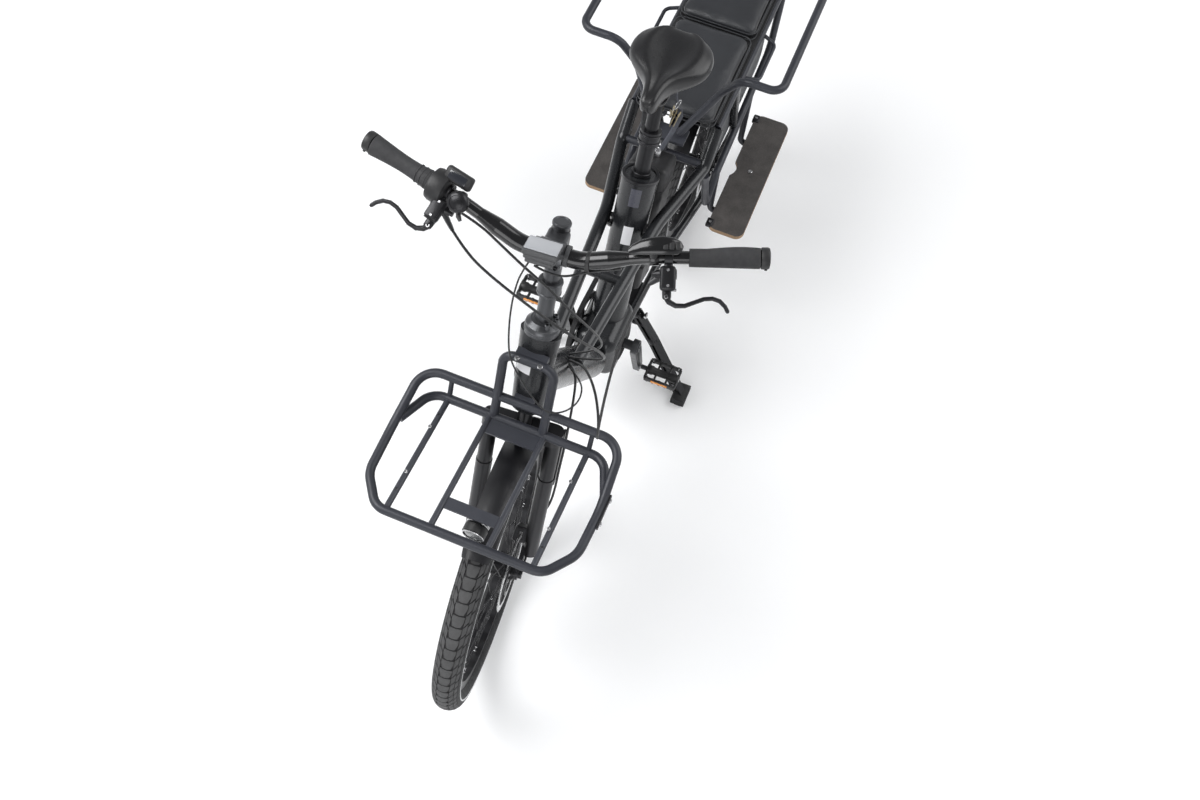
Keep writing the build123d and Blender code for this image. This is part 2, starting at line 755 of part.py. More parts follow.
# ---------------------------------------------------------------- seat and battery
def seat_parts():
    made = {}
    post = rod((0, 0, seat_tube_length - post_sunk + 1), (0, 0, post_collar), post_low_radius)
    post += rod((0, 0, post_collar - post_collar_height), (0, 0, post_collar + 8),
                post_low_radius + post_collar_wall)
    clamp_up = (saddle_z - saddle_depth - bb_height) / seat_up.Z
    post += rod((0, 0, post_collar), (0, 0, clamp_up), post_radius)
    post += Pos(0, 0, clamp_up) * Box(*seat_clamp)
    post = seat_frame * post
    made["seat_post"] = one(post)

    nose = Vector(X(saddle_nose), 0, saddle_z)
    sections = [Plane(origin=nose - Vector(back, 0, drop), x_dir=(0, 1, 0),
                      z_dir=(-1, 0, 0)) * Ellipse(width / 2, height / 2)
                for back, width, height, drop in saddle_stations]
    saddle = loft(Sketch() + sections)
    for side in (1, -1):
        run = [(30, 10, 36), (54, 22, saddle_depth - 4), (134, 22, saddle_depth - 4), (184, 34, 34)]
        saddle += pipe([nose + Vector(-back, side * y, -drop) for back, y, drop in run], 3.5, (20, 20))
    made["saddle"] = one(saddle - post)

    middle = -seat_tube_depth / 2 - battery_gap - battery_depth / 2
    pack = Pos(middle, 0, (battery_low + battery_top) / 2) * Box(battery_depth, battery_width,
                                                                 battery_top - battery_low)
    pack = fillet(pack.edges(), 14)
    pack += Pos(-seat_tube_depth / 2, 0, (battery_low + battery_top) / 2) * Box(2 * battery_gap + 4,
                                                                                battery_width / 3, battery_top - battery_low - 80)
    pack += Pos(middle - 14, 0, battery_top + lock_height / 2 - 1) * Cylinder(lock_radius, lock_height)
    made["battery"] = seat_frame * pack
    return made


# ---------------------------------------------------------------- cranks, pedals and belt
def crank_point(angle, y):
    return bb + Vector(crank_length * cos(radians(angle)), y, crank_length * sin(radians(angle)))


def drive_parts():
    made = {}
    half = crank_inner_y + 2
    body = rod(bb - Vector(0, half, 0), bb + Vector(0, half, 0), spindle_radius)
    pin_length = pedal_y + pedal_width / 2 - crank_inner_y - crank_thickness / 2 - 8
    for side, angle in ((1, crank_rest), (-1, crank_rest + 180)):
        y = side * (crank_inner_y + crank_thickness / 2)
        end = crank_point(angle, y)
        ends = Circle(crank_root) + Pos(end.X - bb.X, end.Z - bb.Z) * Circle(crank_tip)
        body += plate(bb + Vector(0, y, 0), make_hull(ends.edges()), crank_thickness)
        body += rod(end, end + Vector(0, side * pin_length, 0), pedal_pin_radius)
    middle = bb + Vector(0, belt_y, 0)
    ring = lug(middle, (0, 1, 0), ring_radius, belt_width - 4) - lug(middle, (0, 1, 0),
                                                                     ring_radius - ring_track, belt_width)
    for i in range(ring_arms):
        turn = 2 * pi * i / ring_arms + 0.35
        ring += rod(middle, middle + Vector(cos(turn), 0, sin(turn)) * (ring_radius - ring_track / 2), 5)
    made["crankset"] = one(body + ring)

    for name, side, angle in (("left", 1, crank_rest), ("right", -1, crank_rest + 180)):
        centre = crank_point(angle, side * pedal_y)
        body = block(centre, (pedal_length, pedal_width - 2 * run_gap, pedal_thickness), 4)
        for end in (1, -1):
            window = Box(pedal_window, pedal_width - 24, pedal_thickness + 2 * cut_over)
            body -= Pos(*(centre + Vector(end * (pedal_window + 1), 0, 0))) * window
        made["pedal_" + name] = one(body - lug(centre, (0, 1, 0), pedal_pin_radius + run_gap,
                                               pedal_width + 2 * cut_over))

    a, b = Vector(bb.X, belt_y, bb.Z), Vector(rear_hub.X, belt_y, rear_hub.Z)
    outer = belt_hull(a, b, ring_radius + run_gap + belt_thickness,
                      sprocket_radius + run_gap + belt_thickness)
    made["belt"] = one(outer - belt_hull(a, b, ring_radius + run_gap, sprocket_radius + run_gap))
    return made


def belt_hull(a, b, ra, rb):
    """Slab with round ends joined by their outer tangents."""
    lean = asin((ra - rb) / hypot(b.X - a.X, b.Z - a.Z))
    tilt = atan2(b.Z - a.Z, b.X - a.X)
    points = []
    for sign in (1, -1):
        turn = tilt + sign * (pi / 2 - lean)
        points.append((a.X + ra * cos(turn), a.Z + ra * sin(turn)))
        points.append((b.X + rb * cos(turn), b.Z + rb * sin(turn)))
    middle = Polyline(points[0], points[1], points[3], points[2], close=True)
    plane = Plane(origin=(0, belt_y + belt_width / 2, 0), x_dir=(1, 0, 0), z_dir=(0, -1, 0))
    flat = make_face(middle) + Pos(a.X, a.Z) * Circle(ra) + Pos(b.X, b.Z) * Circle(rb)
    return extrude(plane * flat, belt_width)


# ---------------------------------------------------------------- stand
def grooved(a, b):
    """Leg of an H section between two points, its grooves in front and behind."""
    way = (b - a).normalized()
    across = way.cross(Vector(1, 0, 0)).normalized()
    outline = Rectangle(stand_leg[1], stand_leg[0])
    for end in (1, -1):
        outline -= Pos(0, end * stand_leg[0] / 2) * Rectangle(stand_groove[0], 2 * stand_groove[1])
    return extrude(Plane(origin=a, x_dir=across, z_dir=way) * outline, (b - a).length)


def stand_parts():
    made = {}
    pivot = Vector(X(stand_pivot_x), 0, stand_pivot_z)
    block_half = stand_hip_y - stand_hub_width / 2 - run_gap
    body = None
    for side in (1, -1):
        hip = pivot + Vector(0, side * stand_hip_y, 0)
        knee = P(stand_knee[0], side * stand_knee[1], stand_knee[2])
        foot = P(stand_foot[0], side * stand_foot[1], stand_shoe[2] / 2)
        leg = lug(hip, (0, 1, 0), stand_hub_radius, stand_hub_width) + grooved(hip, knee)
        leg += grooved(knee, foot) + Pos(*knee) * Sphere(stand_knee_radius)
        shoe = Pos(*foot) * Box(*stand_shoe)
        leg += fillet(shoe.edges().filter_by(Axis.Z), 10)
        leg -= Pos(*(hip - Vector(0, side * (stand_hub_width / 2 + 50), 0))) * Box(100, 100, 100)
        body = leg if body is None else body + leg
    cross = pivot + (P(stand_knee[0], 0, stand_knee[2]) - pivot) * stand_cross_share
    cross_y = stand_hip_y + (stand_knee[1] - stand_hip_y) * stand_cross_share
    body += rod(cross - Vector(0, cross_y, 0), cross + Vector(0, cross_y, 0), stand_cross_radius)
    made["stand_legs"] = one(body - lug(pivot, (0, 1, 0), stand_pin_radius + run_gap, 4 * stand_knee[1]))

    pin_half = stand_hip_y + stand_hub_width / 2
    hanger = rod(pivot - Vector(0, pin_half, 0), pivot + Vector(0, pin_half, 0), stand_pin_radius)
    hanger += lug(pivot, (0, 1, 0), stand_hub_radius + 2, 2 * block_half)
    top = bb_height - hanger_drop
    hanger += Pos(pivot.X, 0, (pivot.Z + top) / 2) * Box(hanger_stem, 2 * block_half, top - pivot.Z)
    hanger += Pos(pivot.X + 20, 0, top) * Box(*hanger_plate)
    made["stand_hanger"] = hanger
    return made


# ---------------------------------------------------------------- rear rack
def lower_rail_height(station):
    """Height of the lower rail's middle at a station behind the front axle."""
    first = rack_start + 110
    return lower_rail_z + lower_rail_climb * (station - first) / (lower_rail_end - first)


def rack_parts(frame):
    made = {}
    corner = rack_end - rail_radius
    half = [P(rack_start + rack_rise, rack_y, rack_z), P(corner, rack_y, rack_z)]
    rails = pipe(half + [flip(p) for p in reversed(half)], rail_radius, (50, 50))
    half_loop = loop_length / 2
    reach = rack_y + rail_radius + loop_out
    loop = pipe([P(loop_at + half_loop, rack_y, rack_z - 2), P(loop_at + half_loop - 14, reach, rack_z - 8),
                 P(loop_at - half_loop + 14, reach, rack_z - 8), P(loop_at - half_loop, rack_y,
                                                                   rack_z - 2)], loop_radius, (18, 18))
    rails = one(cut(rails + loop + mirrored(loop), frame["side_tubes"]))
    made["rack_rails"] = rails
    for name in ("left", "right"):
        frame["stay_" + name] = one(cut(frame["stay_" + name], rails))

    # rails below, which carry the footboards on two bent arms each
    run = [P(rack_start - 14, lower_rail_y, lower_rail_top),
           P(rack_start + 55, lower_rail_y, lower_rail_z - 60),
           P(rack_start + 110, lower_rail_y, lower_rail_z),
           P(lower_rail_end, lower_rail_y, lower_rail_z + lower_rail_climb), P(lower_rail_end + 60,
                                                                               rack_y, rack_z)]
    lower = pipe(run, rail_radius, (60, 45, 60))
    under = footboard_z - footboard_thickness - arm_radius
    for station in (footboard_start + arm_ends[0], footboard_start + footboard_length - arm_ends[1]):
        lower += pipe([P(station, lower_rail_y, lower_rail_height(station)),
                       P(station, lower_rail_y, under),
                       P(station, footboard_inner_y + footboard_width - 14, under)], arm_radius, (16,))
    middle = (X(footboard_start + footboard_length / 2), footboard_inner_y + footboard_width / 2,
              footboard_z - footboard_thickness / 2)
    board = Pos(*middle) * Box(footboard_length, footboard_width, footboard_thickness)
    board = fillet(board.edges().filter_by(Axis.Z), footboard_round)
    notch_y = footboard_inner_y + notch_depth - notch_length / 2
    board -= lug((X(notch_at), notch_y, middle[2]), (0, 0, 1), notch_length / 2, 3 * footboard_thickness)
    made["footboards"] = both_sides(board)
    made["lower_rails"] = both_sides(cut(lower, frame["side_tubes"], rails, frame["stay_left"], board))

    middle = (pad_front_start + pad_rear_end) / 2
    deck = Pos(X(middle), 0, pad_low - deck_thickness / 2) * Box(pad_rear_end - pad_front_start - 60,
                                                                 2 * rack_y, deck_thickness)
    for station in cross_stations:
        deck += rod(P(station, -rack_y, rack_z), P(station, rack_y, rack_z), rail_radius)
    hanger_low = rear_radius * 2 + fender_gap + fender_thickness - 1
    deck += Pos(X(cross_stations[1]), 0, (hanger_low + rack_z) / 2) * Box(fender_tab, fender_tab,
                                                                          rack_z - hanger_low)
    made["rack_deck"] = one(cut(deck, rails))

    for name, a, b in (("pad_front", pad_front_start, pad_split - pad_gap / 2),
                       ("pad_rear", pad_split + pad_gap / 2, pad_rear_end)):
        made[name] = block((X((a + b) / 2), 0, pad_low + pad_thickness / 2),
                           (b - a, pad_width, pad_thickness), pad_round)

    # fender on the rear wheel, hung from the rack and stayed to both dropouts
    blade = rear_wheel_at * fender(rear_radius, rear_fender_width, rear_fender_tip, rear_fender_tail)
    tail = radians(rear_fender_tail - 8)
    out = rear_radius + fender_gap - 4
    for side in (1, -1):
        for turn in (tail, radians(rear_fender_tip + 62)):
            top = rear_hub + Vector(out * cos(turn), side * (rear_fender_width / 2 - 3), out * sin(turn))
            foot = rear_hub + Vector(-16 if turn > 2 else 16, side * rear_dropout_y, 16)
            blade += pipe([top, top + Vector(-24 * cos(turn), side * 26, -24 * sin(turn)), foot],
                          fender_stay_radius, (20,))
    made["rear_fender"] = one(cut(blade, made["rack_deck"], frame["stay_left"], frame["stay_right"]))
    return made


def rear_fittings(frame):
    made = {}
    rails, deck = frame["rack_rails"], frame["rack_deck"]
    guard_y = rack_y - strut_radius - guard_size[1] / 2 + 0.5
    guard = Pos(X(wheelbase + guard_shift), guard_y, rack_z - guard_size[2] / 2) * Box(*guard_size)
    guard = fillet(guard.edges().filter_by(Axis.Y), guard_round)
    made["wheel_guards"] = both_sides(cut(guard, frame["stay_left"], rails, deck, frame["rear_fender"]))

    # safety bar: one loop round both passengers, from its foot to two posts on the rack's end
    back = rack_end - hoop_back_inset
    half = [P(*hoop_foot), P(*hoop_knee), P(hoop_front, hoop_shoulder_y, hoop_z),
            P(hoop_front, hoop_y, hoop_z), P(back, hoop_y, hoop_z)]
    bends = (50, 40, 28, 60)
    bar = pipe(half + [flip(p) for p in reversed(half)], hoop_radius, bends + bends[::-1])
    for side in (1, -1):
        bar += rod(P(back, side * hoop_post_y, hoop_z), P(back, side * hoop_post_y, rack_z),
                   hoop_radius - 1)
    made["safety_bar"] = one(cut(bar, rails, frame["pad_rear"], deck))

    # its foot, on a cross tube between the twin tubes
    foot_z = hoop_foot[2] - hoop_radius
    cross_z = side_tube_bend_z + 6
    cross = rack_start - 6
    foot = rod(P(cross, -rack_y, cross_z), P(cross, rack_y, cross_z), foot_post_radius)
    foot += rod(P(cross, 0, cross_z), P(cross, 0, foot_z), foot_post_radius - 2)
    foot += Pos(X(hoop_foot[0]), 0, foot_z - foot_plate[2] / 2 + 2) * Box(*foot_plate)
    made["safety_bar_foot"] = one(cut(foot, frame["side_tubes"], frame["lower_rails"], made["safety_bar"]))

    lamp = block((X(rack_end - lamp_size[0] / 2 - 2), 0, rack_z - rail_radius - lamp_size[2] / 2 + 1),
                 lamp_size, 6)
    made["rear_lamp"] = one(cut(lamp, rails))

    half_axle = rear_hub_width / 2 + run_gap + dropout_thickness + axle_nut + axle_free_end
    axle = rod(rear_hub - Vector(0, half_axle, 0), rear_hub + Vector(0, half_axle, 0), axle_radius)
    for side in (1, -1):
        axle += lug(rear_hub + Vector(0, side * (half_axle - axle_free_end - axle_nut / 2), 0), (0, 1, 0),
                    axle_nut_radius, axle_nut)
    made["rear_axle"] = one(cut(axle, frame["stay_left"], frame["stay_right"]))

    body = caliper(Location(rear_hub), rear_rotor_y, rear_caliper_turn)
    body += Pos(rear_hub.X + 70, stay_y, rear_hub.Z + 28) * Box(30, caliper_tab, 44)
    made["brake_rear"] = one(cut(body, frame["stay_left"], made["rear_axle"]))
    return made


# ---------------------------------------------------------------- front carrier, in its own frame
def carrier_parts(head):
    made = {}
    reach, r = carrier_reach, carrier_tube_radius
    side, up, back = carrier_side_y, carrier_rail_up, carrier_rail_back
    loop = [(-back, side - 8, up), (110, side, 6), (reach - 60, side - 4, 0),
            (reach, carrier_rod_y[1] + 20, 0)]
    left = pipe([(-back, 0, up), *loop, (reach, 0, 0)], r, (44, 160, 60, 40))
    rim = left + mirrored(left)

    low = pipe([(0, 0, 0), (0, side - 34, 0), (80, side - 2, 0)], r, (40,))
    base = low + mirrored(low)
    for across in (1, -1):
        y = across * carrier_rod_y[1]
        base += rod((-2, y, 0), (-back, y, up), carrier_post_radius)
    base = cut(base, rim)

    # rods along the platform, the outer ones with bolt holes, and two plates between the middle ones
    rods = []
    for y in carrier_rod_y:
        for across in (1, -1):
            bar = rod((0, across * y, 0), (reach, across * y, 0), carrier_rod_radius)
            if y == carrier_rod_y[1]:
                for ahead in carrier_hole_x:
                    bar -= rod((ahead, across * y, -2 * r), (ahead, across * y, 2 * r), carrier_hole_radius)
            rods.append(one(cut(bar, rim, base)))
    for ahead, depth in carrier_straps:
        rods.append(one(cut(Pos(ahead, 0, 0) * Box(depth, 2 * carrier_rod_y[0], carrier_strap_thickness),
                            base, *rods[:2])))

    y, top = carrier_hoop_y, carrier_hoop_up
    hoop = pipe([(-2, -y, 4), (-back + 2, -y, up), (-carrier_hoop_back, -y, top),
                 (-carrier_hoop_back, y, top), (-back + 2, y, up), (-2, y, 4)],
                r, (30, 24, 24, 30))
    hoop = cut(hoop, rim, base)
    made["carrier_rim"] = carrier_frame * one(rim)
    made["carrier_base"] = carrier_frame * one(base)
    made["carrier_rods"] = carrier_frame * Compound(children=rods)
    made["carrier_hoop"] = carrier_frame * one(hoop)

    # brackets from the hoop's top and from the rim's rear tube to the head tube
    high = spot(carrier_frame, -carrier_hoop_back, 0, top)
    low_at = spot(carrier_frame, -back, 0, up)
    held = []
    for at, (length, width, height), tube in ((high, mount_high, made["carrier_hoop"]),
                                              (low_at, mount_low, made["carrier_rim"])):
        held.append(one(cut(Pos(at.X - length / 2, 0, at.Z) * Box(length, width, height), head, tube)))
    made["carrier_mount"] = Compound(children=held)

    at = P(-headlamp_ahead, headlamp_side, headlamp_z)
    lamp = lug(at, (1, 0, 0), headlamp_radius, headlamp_length)
    lamp = fillet(lamp.edges(), 4)
    lamp += Pos(*(at + Vector(0, 0, headlamp_radius + 4))) * Box(16, 16, 28)
    made["headlamp"] = one(cut(lamp, made["carrier_base"], made["carrier_rods"]))
    return made


# ---------------------------------------------------------------- hoses, held at both ends
def hose_parts(made):
    """Hoses and cables that cross from the handlebar to the frame, and the front brake's own on the fork."""
    rear_brake = [P(318, 178, 1079), P(288, 168, 1043), P(255, 160, 995), P(212, 160, 950),
                  P(165, 165, 905), P(130, 170, 855),
                  P(140, 168, 800), P(190, 152, 775), P(245, 125, 762), P(295, 92, 735), P(332, 58,
                                                                                           700), P(354,
                                                                                                   22, 650)]
    right_brake = [P(284, -172, 1079), P(262, -135, 1058), P(250, -85, 1035), P(243, -28, 1008),
                   P(246, 28, 965), P(262, 66, 915),
                   P(285, 92, 862), P(310, 108, 808), P(330, 110, 755), P(345, 84, 708), P(366, 17, 640)]
    shift_cable = [P(315, -185, 1098), P(312, -135, 1083), P(298, -90, 1068), P(283, -40, 1050),
                   P(277, 8, 1022), P(282, 44, 972), P(296, 70, 918),
                   P(315, 90, 862), P(335, 98, 806), P(352, 92, 752), P(362, 66, 702), P(382, 12, 622)]
    screen_cable = [P(284, -20, 1094), P(270, -38, 1050), P(255, -46, 998), P(242, -48, 948),
                    P(228, -46, 900), P(206, -36, 862),
                    P(190, -10, 830), P(176, 24, 796), P(168, 56, 771), P(188, 88, 768), P(232, 100,
                                                                                           752), P(286,
                                                                                                   80, 724), P(338, 25, 664)]
    crossing = [hose(rear_brake, hose_radius), hose(right_brake, hose_radius),
                hose(shift_cable, hose_radius), hose(screen_cable, cable_radius)]
    fork_hose = [P(352, 20, 652), P(320, 54, 680), P(272, 72, 701), P(230, 82, 690), P(209, 84, 645),
                 P(191, 85, 597), P(171, 84, 546),
                 P(150, 85, 494), P(130, 82, 444), P(116, 68, 404), P(88, 44, 366)]
    held = [one(cut(line, *made.values())) for line in crossing]
    return {"control_hoses": Compound(children=[piece for line in held for piece in line.solids()]),
            "front_brake_hose": one(cut(hose(fork_hose, hose_radius), *made.values()))}


def build():
    made = steering_parts()
    frame = frame_parts()
    frame.update(seat_parts())
    frame.update(rack_parts(frame))
    frame.update(rear_fittings(frame))
    frame.update(stand_parts())
    for name in ("stay_left", "stay_right", "drive_unit"):
        frame["stand_hanger"] = frame["stand_hanger"] - frame[name]
    frame["stand_hanger"] = one(frame["stand_hanger"])
    frame["battery"] = one(cut(frame["battery"], frame["seat_tube"]))
    frame.update(carrier_parts(frame["head_tube"]))
    made.update(frame)
    made.update(drive_parts())
    made["tyre_front"] = front_wheel_at * tyre(front_radius, front_tyre_width)
    made["wheel_front"] = front_wheel_at * wheel(front_radius, front_hub_width)
    made["tyre_rear"] = rear_wheel_at * tyre(rear_radius, rear_tyre_width)
    sprocket = Pos(0, 0,
                   belt_y) * (Cylinder(sprocket_radius, belt_width - 4) - Cylinder(hub_radius - 1,
                                                                                   belt_width))
    made["wheel_rear"] = rear_wheel_at * one(wheel(rear_radius, rear_hub_width) + sprocket)
    made["rotor_front"] = front_wheel_at * Pos(0, 0, front_rotor_y) * rotor()
    made["rotor_rear"] = rear_wheel_at * Pos(0, 0, rear_rotor_y) * rotor()
    made.update(hose_parts(made))
    return made


if __name__ == "__main__":
    os.makedirs("parts", exist_ok=True)
    for name, shape in build().items():
        export_step(shape, "parts/" + name + ".step")
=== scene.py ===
import json
from math import atan2, cos, exp, hypot, pi, radians, sin

import bmesh
import bpy
from mathutils import Matrix, Vector

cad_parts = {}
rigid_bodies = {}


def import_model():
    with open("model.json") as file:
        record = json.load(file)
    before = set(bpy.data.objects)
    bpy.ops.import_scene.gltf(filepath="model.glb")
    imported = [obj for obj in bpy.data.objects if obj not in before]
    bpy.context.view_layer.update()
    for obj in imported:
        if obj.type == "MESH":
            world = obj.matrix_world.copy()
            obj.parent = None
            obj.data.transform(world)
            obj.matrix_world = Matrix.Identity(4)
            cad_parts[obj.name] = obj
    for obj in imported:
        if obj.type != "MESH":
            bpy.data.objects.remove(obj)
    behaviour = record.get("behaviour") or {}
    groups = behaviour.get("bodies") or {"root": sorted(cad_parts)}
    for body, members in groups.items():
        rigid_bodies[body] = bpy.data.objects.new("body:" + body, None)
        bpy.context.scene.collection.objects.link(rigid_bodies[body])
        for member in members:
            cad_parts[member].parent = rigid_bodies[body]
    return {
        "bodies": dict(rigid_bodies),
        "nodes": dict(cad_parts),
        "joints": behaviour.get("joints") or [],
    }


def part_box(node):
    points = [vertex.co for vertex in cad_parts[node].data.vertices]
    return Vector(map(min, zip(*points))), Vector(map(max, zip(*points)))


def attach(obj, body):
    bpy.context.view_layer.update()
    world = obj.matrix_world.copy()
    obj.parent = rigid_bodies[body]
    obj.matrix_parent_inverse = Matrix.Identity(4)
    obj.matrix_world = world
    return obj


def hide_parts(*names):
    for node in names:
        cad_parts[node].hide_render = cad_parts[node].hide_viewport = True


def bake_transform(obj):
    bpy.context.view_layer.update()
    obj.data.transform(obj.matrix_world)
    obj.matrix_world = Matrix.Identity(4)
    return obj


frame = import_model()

scene = bpy.context.scene
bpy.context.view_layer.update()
nodes = frame["nodes"]
joints = {joint["name"]: joint for joint in frame["joints"]}
MM = 0.001

# Points and matrices are in metres. Sizes, radii, profiles and shifts are given in millimetres.


# ---------------------------------------------------------------- places, all from the frame
def columns(origin, x, y, z):
    return Matrix(((x.x, y.x, z.x, origin.x), (x.y, y.y, z.y, origin.y), (x.z, y.z, z.z, origin.z), (0, 0, 0, 1)))


def basis(origin, x, z):
    z = z.normalized()
    x = (x - z * x.dot(z)).normalized()
    return columns(origin, x, z.cross(x), z)


def point(place, x=0, y=0, z=0):
    """Point of a local frame, from millimetres."""
    return place @ (Vector((x, y, z)) * MM)


def moved(place, x=0, y=0, z=0):
    """The same frame, shifted along its own axes."""
    return place @ Matrix.Translation(Vector((x, y, z)) * MM)


def turned(place, way):
    return (place.to_3x3() @ way).normalized()


def turns(count, first=0.0):
    """Equal turns round a circle, in radians."""
    return [2 * pi * (i + first) / count for i in range(count)]


def joint_at(name):
    return Vector(joints[name]["pos_m"])


def joint_way(name):
    return Vector(joints[name]["axis"]).normalized()


def node_points(node):
    return [v.co.copy() for v in nodes[node].data.vertices]


def local_points(node, place):
    """A node's points in a local frame, in millimetres."""
    inverse = place.inverted()
    return [inverse @ p / MM for p in node_points(node)]


def local_box(node, place):
    points = local_points(node, place)
    return [Vector([pick(p[i] for p in points) for i in range(3)]) for pick in (min, max)]


def mean(points):
    return sum(points, Vector()) / len(points)


def frame_body(node):
    """Name of the body that carries a node."""
    return next(name for name, empty in frame["bodies"].items() if nodes[node].parent is empty)


left, up, ahead = Vector((0, 1, 0)), Vector((0, 0, 1)), Vector((1, 0, 0))
steer_up = joint_way("steering_turn")
axle_way = joint_way("front_wheel_spin")
rear_hub = joint_at("rear_wheel_spin")
crank_axle = joint_at("crank_spin")
steer = basis(joint_at("steering_turn"), axle_way.cross(steer_up), steer_up)
head = basis(joint_at("steering_turn"), left.cross(steer_up), steer_up)
wheels = {"front": basis(joint_at("front_wheel_spin"), axle_way.cross(steer_up), axle_way),
          "rear": basis(rear_hub, ahead, left)}
wheelbase = 1.25
front_station = rear_hub.x + wheelbase


def here(behind, y, z):
    """Point from millimetres, its station measured behind the front axle."""
    return Vector((front_station - behind * MM, y * MM, z * MM))


def seat_axis():
    """Frame on the crank axle whose z runs up the seat tube's middle."""
    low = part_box("seat_post")[0]
    way = mean([p for p in node_points("seat_post") if p.z < low.z + 0.15]) - crank_axle
    way.y = 0
    return basis(crank_axle, ahead, way)


seat = seat_axis()


# ---------------------------------------------------------------- materials
def new_material(name):
    """A material, its shader's sockets and its object coordinates."""
    mat = bpy.data.materials.new(name)
    mat.use_nodes = True
    tree = mat.node_tree
    return mat, tree.nodes["Principled BSDF"].inputs, tree.nodes.new("ShaderNodeTexCoord").outputs["Object"]


def feed(socket, value):
    """Links an output to a socket, or sets a plain value on it."""
    if isinstance(value, bpy.types.NodeSocket):
        socket.id_data.links.new(value, socket)
    else:
        socket.default_value = value


def put(tree, kind, inputs, output, **settings):
    """Adds a node with its settings and inputs, and returns one output."""
    node = tree.nodes.new(kind)
    for name, value in settings.items():
        setattr(node, name, value)
    for name, value in inputs.items():
        feed(node.inputs[name], value)
    return node.outputs[output]


def noise(coords, scale, detail=3.0):
    inputs = {"Scale": scale, "Detail": detail, "Roughness": 0.55, "Vector": coords}
    return put(coords.id_data, "ShaderNodeTexNoise", inputs, "Fac")


def spread(value, low, high, from_low=0.3, from_high=0.7):
    inputs = {"From Min": from_low, "From Max": from_high, "To Min": low, "To Max": high, "Value": value}
    return put(value.id_data, "ShaderNodeMapRange", inputs, "Result")


def blend_colours(value, a, b):
    a, b = [(*c, 1) if isinstance(c, tuple) else c for c in (a, b)]
    return put(value.id_data, "ShaderNodeMix", {6: a, 7: b, "Factor": value}, 2, data_type="RGBA")


def tint(colour, share, lift=0.0):
    return tuple(min(1, c * share + lift) for c in colour)


def finish(sockets, base, rough, height, strength, distance):
    """Feeds the colour, the roughness and a bump into a shader."""
    inputs = {"Strength": strength, "Distance": distance, "Height": height}
    feed(sockets["Base Color"], base)
    feed(sockets["Roughness"], rough)
    feed(sockets["Normal"], put(height.id_data, "ShaderNodeBump", inputs, "Normal"))


def surface(name, colour, rough, metal, vary, scale, grain, bump, coat=0.0, wear=0.0, speck=0.0):
    """Painted, moulded or metal surface: slow colour drift, fine grain, and optional bright edges and flakes."""
    mat, sockets, coords = new_material(name)
    base = blend_colours(spread(noise(coords, scale), 0, 1), tint(colour, 1 - vary), tint(colour, 1 + vary))
    if speck:
        base = blend_colours(spread(noise(coords, 1800, 1.0), 0, speck, 0.55, 0.75), base, tint(colour, 3, 0.05))
    if wear:
        edge = put(coords.id_data, "ShaderNodeNewGeometry", {}, "Pointiness")
        base = blend_colours(spread(edge, 0, wear, 0.53, 0.62), base, tint(colour, 2.2, 0.03))
    sockets["Metallic"].default_value = metal
    if coat:
        sockets["Coat Weight"].default_value = coat
        sockets["Coat Roughness"].default_value = 0.12
    roughness = spread(noise(coords, scale * 5), rough * 0.86, min(1, rough * 1.14))
    finish(sockets, base, roughness, noise(coords, grain, 2.0), bump, 0.0004)
    return mat


def cells(coords, scale):
    return put(coords.id_data, "ShaderNodeTexVoronoi", {"Scale": scale, "Vector": coords}, "Distance")


def leather(name, colour, rough, cell, depth):
    """Grained synthetic leather: small cells with soft valleys."""
    mat, sockets, coords = new_material(name)
    grain = cells(coords, cell)
    base = blend_colours(spread(noise(coords, 11), 0, 1), tint(colour, 0.86), tint(colour, 1.16))
    base = blend_colours(spread(grain, 0, 0.35, 0.35, 0.75), base, tint(colour, 1.5))
    finish(sockets, base, spread(noise(coords, 60), rough * 0.88, rough * 1.12), grain, 0.35, depth)
    return mat


def plywood():
    """Dark grey-brown speckled faces and pale edges with thin layers."""
    mat, sockets, coords = new_material("plywood")
    tree = coords.id_data
    face = blend_colours(spread(noise(coords, 26), 0, 1), (0.052, 0.047, 0.045), (0.085, 0.078, 0.074))
    face = blend_colours(spread(noise(coords, 620, 2.0), 0, 0.55, 0.56, 0.7), face, (0.16, 0.145, 0.135))
    inputs = {"Scale": 150, "Distortion": 0.6, "Vector": coords}
    layers = put(tree, "ShaderNodeTexWave", inputs, "Fac", bands_direction="Z")
    edge = blend_colours(layers, (0.22, 0.135, 0.07), (0.43, 0.29, 0.17))
    normal = put(tree, "ShaderNodeTexCoord", {}, "Normal")
    across = put(tree, "ShaderNodeSeparateXYZ", {"Vector": normal}, "Z")
    upright = put(tree, "ShaderNodeMath", {0: across}, 0, operation="ABSOLUTE")
    base = blend_colours(spread(upright, 0, 1, 0.4, 0.6), edge, face)
    finish(sockets, base, spread(noise(coords, 90), 0.55, 0.72), noise(coords, 620, 2.0), 0.3, 0.0003)
    return mat


def lens(name, colour, cell, rough=0.12, clear=0.0):
    """Moulded lens or reflector with a field of small prisms."""
    mat, sockets, coords = new_material(name)
    prisms = cells(coords, cell)
    base = blend_colours(spread(prisms, 0, 1, 0.1, 0.7), tint(colour, 0.6), tint(colour, 1.35))
    sockets["Transmission Weight"].default_value = clear
    sockets["Coat Weight"].default_value = 0.6
    finish(sockets, base, rough, prisms, 0.5, 0.0008)
    return mat


